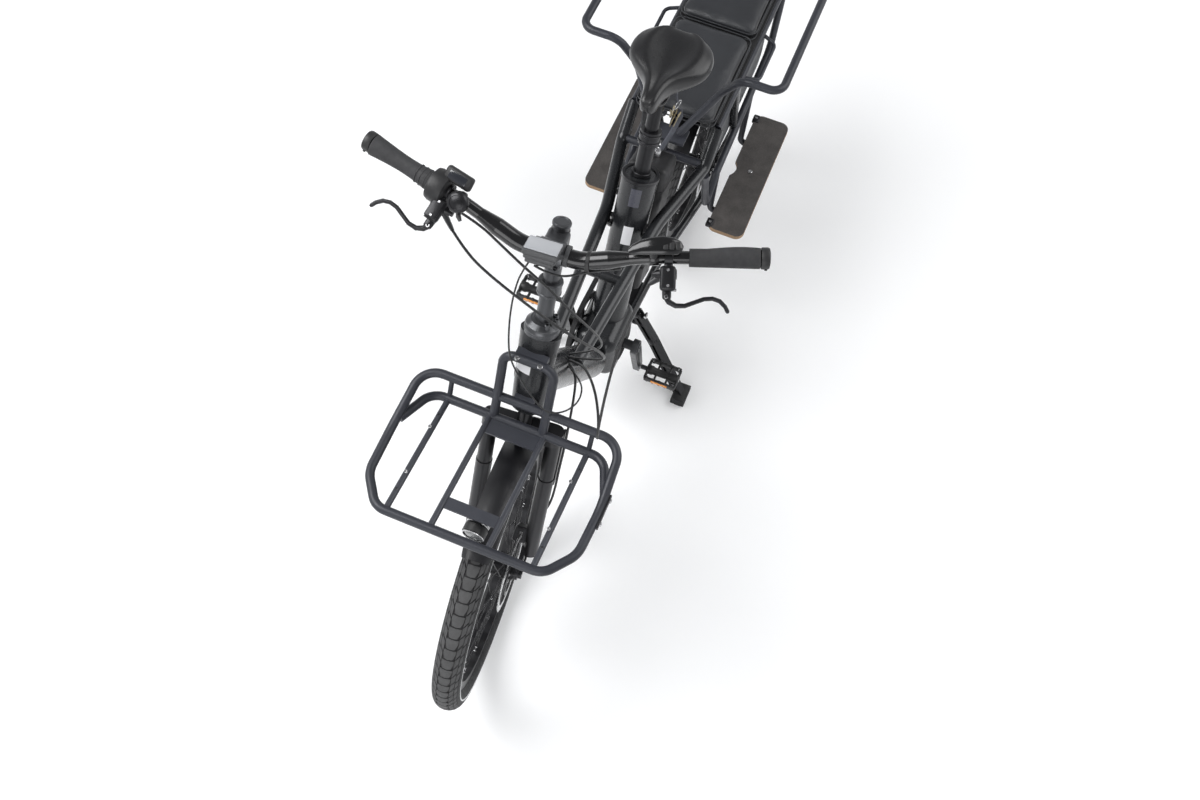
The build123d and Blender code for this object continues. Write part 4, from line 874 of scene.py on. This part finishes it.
def lever(side, name):
    """Brake lever: bar clamp, cylinder with its reservoir, and a blade that curls away at its tip."""
    place, _, _, way, rise = bar_side(side)
    place = moved(place, 0, -34)
    rows = [(0, 0), (8, 0), (9.5, 1.5), (9.5, 27), (8, 30), (7, 35), (5, 37), (4.4, 42), (0, 42)]
    chunks = [ring(point(place), way, 11.1, 16.2, 14), lathe(facing(point(place, 28, 14, -2), -way), rows)]
    for at, size, soft in (((19, 0, 0), (16, 14, 22), 3.5), ((36, -1, 6), (42, 27, 14), 6),
                           ((36, -1, 13.5), (35, 21, 3), 1.2), ((16, 0, -12), (10, 12, 9), 2.5),
                           ((54, -2, -2), (34, 15, 13), 5)):
        chunks.append(round_box(moved(place, *at), size, soft))
    hose_end = here(*routes["hose_front_brake_upper" if side < 0 else "hose_rear_brake"][0])
    spout = point(place, 34, -14, -3)
    chunks.append(swept([point(place, 34, -8, -2), spout, hose_end + (spout - hose_end) * 0.3, hose_end],
                        [(6, 6), (5.6, 5.6), (4.4, 4.4), (3.4, 3.4)], rise))
    blade = [(52, -5, 7, 5.5), (64, -4, 7, 5.5), (74, 2, 7, 5), (80, 13, 6.5, 4.5), (80, 28, 6, 4), (74, 44, 5.6, 3.8),
             (68, 60, 5.6, 3.8), (67, 74, 5.6, 3.8), (71, 86, 5.4, 3.8), (80, 95, 5, 3.6), (88, 99, 4.6, 3.6),
             (91, 100, 2.4, 2)]
    chunks.append(swept([point(place, f, w, -3) for f, w, _, _ in blade], [row[2:] for row in blade], rise, 16))
    solid("brake_lever_assembly_" + name, chunks, "black_metal", "steering", ["brake_lever_" + name], sharp=40)
    heads = [bolt(point(place, 36 + k, -1, 14.6), rise, 2.4, 1.4) for k in (-13, 13)]
    heads += [bolt(point(place, 66, -3, 2.5), rise, 3.6, 2), bolt(point(place, -2, 0, -17), -rise, 2.8, 2),
              bolt(point(place, 54, 8, -3), way, 2.6, 6)]
    solid("brake_lever_bolts_" + name, heads, "steel", "steering")


def remote():
    """Assist control: an arched console over the bar, with three keys at its outer end."""
    place, _, front, way, rise = bar_side(1)
    path = [(-6, -100, 15), (-9, -92, 18), (-12, -78, 22), (-14, -62, 25), (-15, -44, 26), (-14, -28, 25),
            (-12, -18, 22), (-10, -13, 20)]
    sizes = [(5, 3), (9, 4.5), (13, 6), (15, 7), (16, 7.5), (15, 7.5), (12, 6.5), (7, 4)]
    chunks = [swept([point(place, *p) for p in path], sizes, front, 20),
              ring(point(place, 0, -58), way, 11.1, 14.6, 16),
              swept([point(place, 0, -58, 10), point(place, -8, -58, 18)], [(9, 9), (10, 9)], way, 12)]
    solid("assist_console", chunks, "gloss", "steering", ["remote"], sharp=50)
    keys_at = basis(point(place, -14, -30, 32), front, rise * 0.95 - front * 0.25)
    keys = [round_box(moved(keys_at, 0, y), (14, 8, 3), 1.2) for y in (-10, 0, 10)]
    solid("assist_keys", keys, "plastic", "steering")


def shifter_and_bell():
    """Twist shifter drum with its gear window, and a round bell."""
    place, _, front, way, rise = bar_side(-1)
    drum = [(12, 0), (22, 0), (28, 2.5), (30, 8), (30, 23), (28.5, 30), (22, 34), (12, 34)]
    window = basis(point(place, -27, -44, 20), way, rise * 0.86 + front * 0.3)
    chunks = [lathe(facing(point(place, 0, -1), -way), drum, 40), round_box(window, (52, 25, 14), 5),
              ring(point(place, 0, -60), way, 11.1, 15, 9),
              swept([point(place, 2, -60, 12), point(place, 8, -65, 24)], [(6, 5)] * 2, way, 12),
              swept([point(place, 8, -26, -12), here(*routes["cable_shift"][0])], [(5, 5), (3.4, 3.4)], rise)]
    solid("twist_shifter", chunks, "plastic", "steering", ["shifter_and_bell"], sharp=40)
    solid("gear_window", round_box(moved(window, 1, 0, 7), (34, 15, 2), 0.9), "dark_glass", "steering")
    dome = [(0, -6), (15, -6), (18.5, -4), (19, 1), (18, 6), (15.5, 9), (12, 10.4), (11, 9.6), (8, 10.6), (4, 11.4),
            (0, 11.6)]
    bell_at = facing(point(place, 8, -66, 27), rise * 0.9 + front * 0.35)
    solid("bell", lathe(bell_at, dome, 36), "black_metal", "steering")
    striker = [point(place, *p) for p in ((20, -72, 18), (27, -77, 17), (32, -84, 18))]
    solid("bell_striker", swept(striker, [(4, 2), (4.5, 2), (3, 1.6)], way, 12), "plastic", "steering")


def bar_middle():
    """The steering's frame, moved to the middle of the bar's clamped part."""
    middle = mean([p for p in local_points("handlebar", steer) if abs(p.y) < 58])
    return moved(steer, middle.x, 0, middle.z)


bar = bar_middle()


def display():
    """Display on an arm ahead of the bar: pale face, dark stepped housing underneath."""
    place = moved(bar, 29.9, -10, 21.9) @ Matrix.Rotation(radians(-4), 4, "Y")
    chunks = [round_box(moved(place, x, 0, z), size, soft) for x, z, size, soft in
              ((0, -1, (46, 62, 11), 2.5), (1, -10, (41, 56, 10), 3), (3, -18, (34, 48, 9), 2.5))]
    for side in (-1, 1):
        arm = ((2, side * 27, 0), (14, side * 27 - 4, 7), (30, side * 24 - 9, 13))
        chunks.append(swept([point(bar, *p) for p in arm], [(6, 3.5)] * 3, turned(steer, ahead), 12))
        chunks.append(ring(point(bar, 0, side * 28), turned(steer, left), 15.9, 19, 8))
    solid("display_housing", chunks, "housing", "steering", ["display"])
    solid("display_face", round_box(moved(place, 0, 0, 5.6), (42, 58, 2.4), 1.1), "screen", "steering")


def stem_details():
    """Cap, clamp bolts, height collar, headset rings and the hose comb round the column."""
    low, high = local_box("stem", steer)
    top = high.z
    cap = [(16.2, -3), (17, -2), (17.2, 2), (16, 4), (12, 4.6), (11.4, 4), (4, 4), (0, 4)]
    pieces = [lathe(moved(steer, 0, 0, top), cap, 40), ring(point(steer, 0, 0, top - 14), steer_up, 15.5, 17, 6),
              round_box(moved(bar, 17), (12, 44, 44), 5)]
    solid("stem_cap", pieces, "stem", "steering")
    heads = [bolt(point(bar, 23, y, z), turned(steer, ahead), 3.8, 3) for y in (-15, 15) for z in (15, -15)]
    column, clear = 21.5, 60
    collar = [p.z for p in local_points("stem", steer)
              if hypot(p.x, p.y) > column and low.z + clear < p.z < top - clear]
    mid = sum(collar) / len(collar)
    for z in (-7, 7):
        for side in (1, -1):
            heads.append(bolt(point(steer, -26, side * 9, mid + z), turned(steer, left) * side, 3.4, 3))
    solid("stem_bolts", heads, "black_metal", "steering")
    collars = [ring(point(steer, 0, 0, mid + z), steer_up, 21, 23, 4) for z in (-11, 11)]
    solid("collar_rims", collars, "stem", "steering")
    dome = [(33, 0.5), (33.6, 2), (33.4, 14), (31, 19), (26, 23), (22, 25.5), (21.4, 28), (17, 30), (15.6, 30)]
    chunks = [lathe(moved(steer, 0, 0, low.z), dome, 48)]
    chunks += [ring(point(steer, 0, 0, low.z + z), steer_up, 32, 33.8, 1.6, 0.4) for z in (5, 10)]
    for k in range(5):
        turn = radians(30 + 32 * k)
        chunks.append(ring(point(steer, 24 * cos(turn), 24 * sin(turn), low.z + 26), steer_up, 2.6, 5, 14))
    solid("headset_cover", chunks, "stem", "steering")
    cable = ((30, -20, -16), (33, 2, -21), (30, 34, -22), (14, 64, -12), (4, 90, -6), (2, 122, 8))
    wire("bar_cable", [point(bar, *p) for p in cable], 2, "hose", "steering")
    band = ring(point(bar, 0, 66, 1.5), turned(steer, Vector((0, 1, 0.16))), 15.5, 18.6, 7)
    solid("bar_band", band, "plastic", "steering")


# ---------------------------------------------------------------- pedals, cranks and drive
def pedal(side):
    """Cage with toothed end plates, a barrel on the axle, and a reflector in each end."""
    body = "pedal_" + side
    sign = 1 if side == "left" else -1
    place = Matrix.Translation(joint_at(body + "_spin"))
    low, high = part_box(body)
    length, width = (high.x - low.x) / MM, (high.y - low.y) / MM
    barrel = ((6.5, 0), (10, 0), (12, 3), (12, 14), (10, 18), (9.5, 60), (12, 68), (12, 80), (9, 84), (6.5, 84))
    chunks = [lathe(facing(point(place, 0, 2 - width / 2), left), barrel)]
    for end in (-1, 1):
        x = end * (length / 2 - 3)
        chunks.append(round_box(moved(place, x), (6, width - 6, 15), 1.6))
        for k in range(5):
            for over in (-1, 1):
                tooth = moved(place, x, (k - 2) * (width - 22) / 4, over * 8.6)
                chunks.append(round_box(tooth, (4, 6, 5), 1.2))
    for y in (4 - width / 2, width / 2 - 4):
        chunks.append(round_box(moved(place, 0, y), (length - 8, 6, 14), 2))
        chunks.append(round_box(moved(place, 0, y), (26, 7, 20), 3))
    for y in (-15, 15):
        chunks.append(round_box(moved(place, 0, y), (length - 10, 5, 9), 1.6))
    solid("pedal_cage_" + side, chunks, "plastic", body, [body])
    lenses, pins = [], []
    for end in (-1, 1):
        lenses.append(round_box(moved(place, end * (length / 2 + 0.2)), (2.4, width * 0.5, 8.5), 0.8))
        for y in (9 - width / 2, width / 2 - 9):
            for over in (-1, 1):
                pins.append(bolt(point(place, end * (length / 2 - 6), y, over * 7.5), up * over, 2.2, 3))
    solid("pedal_reflectors_" + side, lenses, "orange", body)
    pins.append(bolt(point(place, 0, sign * (width / 2 - 1)), left * sign, 5, 2))
    solid("pedal_pins_" + side, pins, "steel", body)


def crank_details():
    """Caps, ridges and bolts on both cranks, and the teeth of the belt's ring."""
    plugs, ends, teeth = [], [], []
    for sign, side in ((1, "left"), (-1, "right")):
        out = left * sign
        eye = joint_at("pedal_" + side + "_spin")
        outer = crank_axle + out * 91.5 * MM
        rows = ((13, -2), (13, 1.2), (11.5, 2.2), (6, 2.4), (5.4, 0.6), (0, 0.6))
        plugs.append(lathe(facing(outer, out), rows, 32))
        ends.append(bolt(Vector((eye.x, outer.y, eye.z)), out, 8, 2.6))
        way = eye - crank_axle
        way.y = 0
        way.normalize()
        plugs.append(swept([crank_axle + (way * r + out * 91.3) * MM for r in (26, 34, 134, 142)],
                           [(3, 0.8), (8, 1), (5.5, 1), (2.4, 0.8)], way.cross(left), 12))
    solid("crank_caps", plugs, "crank", "crankset")
    solid("crank_bolts", ends, "steel", "crankset")
    low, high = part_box("belt")
    for turn in turns(50):
        out = Vector((cos(turn), 0, sin(turn)))
        at = crank_axle + out * 90.6 * MM
        at.y = (low.y + high.y) / 2
        teeth.append(round_box(basis(at, left, out), (9, 5, 4), 1, 1))
    solid("belt_ring_teeth", teeth, "crank", "crankset")


def drive_details():
    low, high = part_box("drive_unit")
    mid = (low + high) / 2
    covers, heads = [], []
    for sign in (1, -1):
        face = mid.y + sign * (high.y - low.y) / 2
        rows = [(16, -3), (46, -3), (47, 0), (45, 1.8), (30, 2.6), (28, 1.6), (17, 1.6), (16, 0), (16, -3)]
        covers.append(lathe(facing(Vector((crank_axle.x, face, crank_axle.z)), left * sign), rows, 56))
        on_face = Matrix.Translation((mid.x, face, mid.z))
        for turn in turns(5):
            at = point(on_face, 50 * cos(turn + 0.4), -sign * 1.2, 44 * sin(turn + 0.4))
            heads.append(bolt(at, left * sign, 3.4, 2.2))
    solid("drive_covers", covers, "plastic")
    solid("drive_bolts", heads, "steel")


# ---------------------------------------------------------------- frame details
def patch(place, half_depth, half_width, turn_low, turn_high, low, high):
    """Thin label over an oval tube; turns in degrees from straight ahead."""
    points = []
    for k in range(13):
        turn = radians(turn_low + (turn_high - turn_low) * k / 12)
        for along in (low, high):
            for lift in (0, 0.35):
                points.append(point(place, (half_depth + lift) * cos(turn), (half_width + lift) * sin(turn), along))
    return strip(points)


def tube_size(place, node, along):
    """Half depth and half width of an upright oval tube at a height in its own frame."""
    points = local_points(node, place)
    low, high = local_box(node, place)
    rows = []
    for end in (low.z, high.z):
        near = [p for p in points if abs(p.z - end) < 4]
        rows.append((max(p.x for p in near), max(p.y for p in near)))
    share = (along - low.z) / (high.z - low.z)
    return [a + (b - a) * share for a, b in zip(*rows)]


def labels():
    low, high = local_box("head_tube", head)
    at = low.z + (high.z - low.z) * 0.62 - 6
    depth, width = tube_size(head, "head_tube", at)
    solid("label_head", patch(head, depth + 0.4, width + 0.4, -58, 0, at - 13, at + 13), "label")
    low, high = local_box("seat_tube", seat)
    depth, width, top = max(abs(low.x), abs(high.x)) + 0.05, high.y + 0.05, high.z
    solid("label_seat_lower", patch(seat, depth, width, -3, 29, top - 160, top - 112), "label")
    solid("label_seat_upper", patch(seat, depth, width, -6, 28, top - 60, top - 15), "grey_label")


def seat_details():
    """The seat tube's rim, the post's collars with their bolts, and a boss on each side of the tube."""
    low, high = local_box("seat_tube", seat)
    top = high.z
    way = turned(seat, up)
    rings = [[point(seat, (high.x + lift) * cos(t), (high.y + lift) * sin(t), top + z) for t in turns(40)]
             for lift, z in ((0.5, -7), (1.6, -6), (1.6, 1.5), (0.6, 2.2), (-6, 2.2))]
    solid("seat_tube_rim", loft(rings, caps=False), "black_metal")
    heights = [p.z for p in local_points("seat_post", seat) if 21 < hypot(p.x, p.y) < 23.5]
    mid = (max(heights) + min(heights)) / 2
    collars = [ring(point(seat, 0, 0, top + 6), way, 17.5, 22, 9)]
    collars += [ring(point(seat, 0, 0, mid + z), way, 21, 24.5, 5) for z in (-9, 8)]
    collars += [round_box(moved(seat, -25, 0, mid + z), (13, 26, 8), 2) for z in (-6, 6)]
    solid("post_collars", collars, "black_metal")
    heads = [bolt(point(seat, -27, s * 13, mid + z), left * s, 3.6, 3) for s in (1, -1) for z in (-6, 6)]
    solid("post_bolts", heads, "steel")
    domes = []
    for sign in (1, -1):
        at = point(seat, 4, sign * (high.y - 1), low.z + (top - low.z) * 0.66)
        rows = ((17, -2), (17, 3), (15.5, 8), (12, 12), (7, 14.4), (0, 15.2))
        domes.append(lathe(facing(at, left * sign), rows, 32))
    solid("seat_bosses", domes, "gloss")


def battery_details():
    """Lock barrel with its key, a ring of spare keys and a short strap, and the battery's bands."""
    low, high = local_box("battery", seat)
    middle = (low.x + high.x) / 2
    way = turned(seat, up)
    lock_at = point(seat, middle - 14, 0, high.z)
    barrel = ((12, -14), (12, -2), (11, 0.6), (8.5, 1), (8, 0.2), (0, 0.2))
    solid("battery_lock", lathe(facing(lock_at, way), barrel, 32), "steel")
    solid("key_in_lock", round_box(basis(lock_at + way * 14 * MM, left, way), (3, 9, 28), 1.2), "steel")
    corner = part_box("saddle")[1]
    hook = Matrix.Translation(corner - left * corner.y + Vector((-116, 24, -60)) * MM)
    bunch = moved(hook, 6, 12, -52)
    lanyard = [point(hook), point(hook, 1, 5, -8), point(bunch, -1, -4, 18), point(bunch, 0, 0, 10)]
    wire("key_lanyard", lanyard, 2, "strap")
    wire("key_ring", [point(bunch, 13 * cos(t), 6 * sin(t), 11 * sin(t)) for t in turns(12)], 1.1, "steel", cyclic=True)
    keys = []
    for k, (dx, dy, lean) in enumerate(((8, 2, 10), (14, 10, -8), (3, -5, 24), (16, -6, 40))):
        lean = radians(lean)
        key = basis(point(bunch, dx, dy, -9), Vector((cos(lean), sin(lean), 0.2)), Vector((0.25 * (k - 1), 0.2, 1)))
        keys.append(round_box(moved(key, 0, 0, -6), (14, 2.4, 16), 1.1))
        keys.append(round_box(moved(key, 0, 0, -27), (6.4, 2, 28), 0.8))
    solid("spare_keys", keys, "brass")
    start = point(bunch, -2, 6, -9)
    end = lock_at + (way * 4 + left * 10) * MM
    path = [start, start + Vector((-4, 3, -26)) * MM, end.lerp(start, 0.35) + Vector((-8, 6, 0)) * MM, end]
    solid("key_strap", swept(path, [(5.5, 0.9)] * 4, left, 10), "strap")
    bands = [round_box(moved(seat, middle - 4, 0, low.z + (high.z - low.z) * share), (96.8, 93.4, 3), 1.2)
             for share in (0.2, 0.8)]
    solid("battery_bands", bands, "plastic")


# ---------------------------------------------------------------- fender, lamps, boards, carrier and stand
def fender_tip():
    """Soft lip that carries the front fender's blade a little further down ahead of the tyre."""
    place = wheels["front"]
    tyre_radius = local_box("tyre_front", place)[1].x
    blade = [p for p in local_points("front_fender", place) if hypot(p.x, p.y) > tyre_radius and p.x > 0]
    tip = min(atan2(-p.y, p.x) for p in blade)
    near = [p for p in blade if atan2(-p.y, p.x) < tip + radians(4)]
    half = max(abs(p.z) for p in near) - 1
    radius = max(hypot(p.x, p.y) for p in near)
    edge = min(hypot(p.x, p.y) for p in near if abs(p.z) > half - 2)
    length, overlap = radians(5.5), radians(2)
    rings = []
    for k in range(9):
        turn = length * k / 8 - tip - overlap
        width = half * (1 - 0.1 * (k / 8) ** 3)
        loop = []
        for lift, order in ((0.3, range(13)), (-1.3, range(12, -1, -1))):
            for m in order:
                a = -1 + m / 6
                r = radius - (radius - edge) * abs(a) ** 3.2 + lift
                loop.append(point(place, r * cos(turn), r * sin(turn), width * a))
        rings.append(loop)
    solid("front_fender_lip", loft(rings), "fender", "steering")


def front_lamp():
    low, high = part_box("headlamp")
    body = frame_body("headlamp")
    radius = min(high.y - low.y, high.z - low.z) / 2 / MM
    length = (high.x - low.x) / MM
    face = facing(Vector((low.x, (low.y + high.y) / 2, (low.z + high.z) / 2)), ahead)
    shell = [(0, 0.03), (0.62, 0), (0.86, 0.06), (0.94, 0.2), (0.94, 0.5), (0.86, 0.53), (0.86, 0.57), (1, 0.6),
             (1, 0.94), (0.93, 0.97), (0.9, 0.86), (0, 0.82)]
    glass = [(0.88, 0.88), (0.86, 0.93), (0.6, 0.985), (0.3, 1.0), (0, 1.005)]
    shell, glass = [lathe(face, [(r * radius, a * length) for r, a in rows], 40) for rows in (shell, glass)]
    solid("headlamp_shell", shell, "plastic", body, ["headlamp"])
    rows = [(along, 0.9, 0.985, 0.035) for along in (0.26, 0.33, 0.4, 0.47)] + [(0.98, 0.86, 0.99, 0.04)]
    fins = [ring(point(face, 0, 0, length * along), ahead, radius * inner, radius * outer, length * wide)
            for along, inner, outer, wide in rows]
    solid("headlamp_fins", fins, "steel", body)
    solid("headlamp_glass", glass, "clear", body)


def rear_lamp():
    low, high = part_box("rear_lamp")
    body = frame_body("rear_lamp")
    place, size = Matrix.Translation((low + high) / 2), (high - low) / MM
    shell = round_box(moved(place, size.x * 0.12), (size.x * 0.76, size.y, size.z), 5, 4)
    solid("rear_lamp_shell", shell, "plastic", body, ["rear_lamp"])
    glass = [round_box(moved(place, size.x * x, size.y * y), (size.x * 0.26, size.y * wide, size.z * tall), 3)
             for x, y, wide, tall in ((-0.36, -0.27, 0.3, 0.72), (-0.36, 0.27, 0.3, 0.72), (-0.35, 0, 0.18, 0.6))]
    solid("rear_lamp_glass", glass, "red", body)


def board_details():
    """A bolt in the middle of each footboard and a clamp at its inner corners."""
    low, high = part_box("footboards")
    inner = min(abs(p.y) for p in node_points("footboards"))
    heads, brackets = [], []
    for side in (1, -1):
        heads.append(bolt(here(1250, side * 168, high.z / MM), up, 5.5, 2.4))
        for x in (high.x - 16 * MM, low.x + 16 * MM):
            place = Matrix.Translation((x, side * (inner + 4 * MM), high.z))
            brackets.append(round_box(moved(place, 0, 0, -2), (24, 18, 12), 3))
            heads.append(bolt(point(place, 0, 0, 4), up, 3.4, 2))
    solid("footboard_bolts", heads, "steel")
    solid("footboard_brackets", brackets, "black_metal")


def carrier_details():
    """A plate with two bolts on the rim's side, and bolts on the rods and the mount."""
    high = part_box("carrier_rim")[1]
    place = Matrix.Translation(mean([p for p in node_points("carrier_rim") if p.y > high.y - 2 * MM]))
    place.translation.y = high.y
    solid("carrier_side_plate", round_box(moved(place, 0, 0.4), (72, 4, 12), 1.6), "black_metal")
    heads = [bolt(point(place, dx, 2.2), left, 4.5, 3) for dx in (-25, 25)]
    low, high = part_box("carrier_rods")
    for y in (-1, 1):
        for share in (0.3, 0.7):
            at = Vector((low.x + (high.x - low.x) * share, y * (high.y - 8 * MM), high.z - 0.6 * MM))
            heads.append(bolt(at, up, 3.4, 2))
    solid("carrier_bolts", heads, "steel")
    low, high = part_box("carrier_mount")
    heads = [bolt(Vector(((low.x + high.x) / 2, s * (high.y - 8 * MM), high.z)), up, 5, 2) for s in (1, -1)]
    solid("mount_bolts", heads, "steel")


def stand_details():
    """A ribbed shoe under each of the stand's feet, and a bolt at each end of its pivot."""
    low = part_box("stand_legs")[0]
    shoes = []
    for side in (1, -1):
        foot = [p for p in node_points("stand_legs") if p.y * side > 0 and p.z < low.z + 12 * MM]
        at = mean(foot)
        at.z = low.z
        place = Matrix.Translation(at)
        length, width = [(max(p[i] for p in foot) - min(p[i] for p in foot)) / MM for i in range(2)]
        shoes.append(round_box(moved(place, 0, 0, 13), (length + 5, width + 5, 24), 5, 4))
        for k in range(4):
            shoes.append(round_box(moved(place, 0, 0, 5 + 5 * k), (length + 7, width + 7, 2), 0.9, 2))
    solid("stand_shoes", shoes, "plastic", "stand")
    pivot_end = 60 * MM
    heads = [bolt(joint_at("stand_fold") + left * s * pivot_end, left * s, 9, 3) for s in (1, -1)]
    solid("stand_bolts", heads, "steel", "stand")


def caliper_details(end, body):
    low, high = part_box("brake_" + end)
    way = axle_way if end == "front" else left
    face = (low + high) / 2 + way * ((high - low).y * 0.46)
    heads = [bolt(face + (ahead * dx + up * dz) * MM, way, 3.4, 2) for dx, dz in ((-13, -9), (13, 9))]
    solid("caliper_bolts_" + end, heads, "steel", body)


# ---------------------------------------------------------------- everything, in order
camera()
studio()
hoses()
for end, body in (("front", "front_wheel"), ("rear", "rear_wheel")):
    tyre(end, body)
    rim_details(end, body)
    rotor(end, body)
saddle()
for node in ("pad_front", "pad_rear"):
    pad(node)
for side, name in ((1, "left"), (-1, "right")):
    grip(side, name)
for side, name in ((1, "left"), (-1, "right")):
    lever(side, name)
remote()
shifter_and_bell()
display()
stem_details()
for side in ("left", "right"):
    pedal(side)
crank_details()
drive_details()
labels()
seat_details()
battery_details()
fender_tip()
front_lamp()
rear_lamp()
board_details()
carrier_details()
stand_details()
for end, body in (("front", "steering"), ("rear", "frame")):
    caliper_details(end, body)
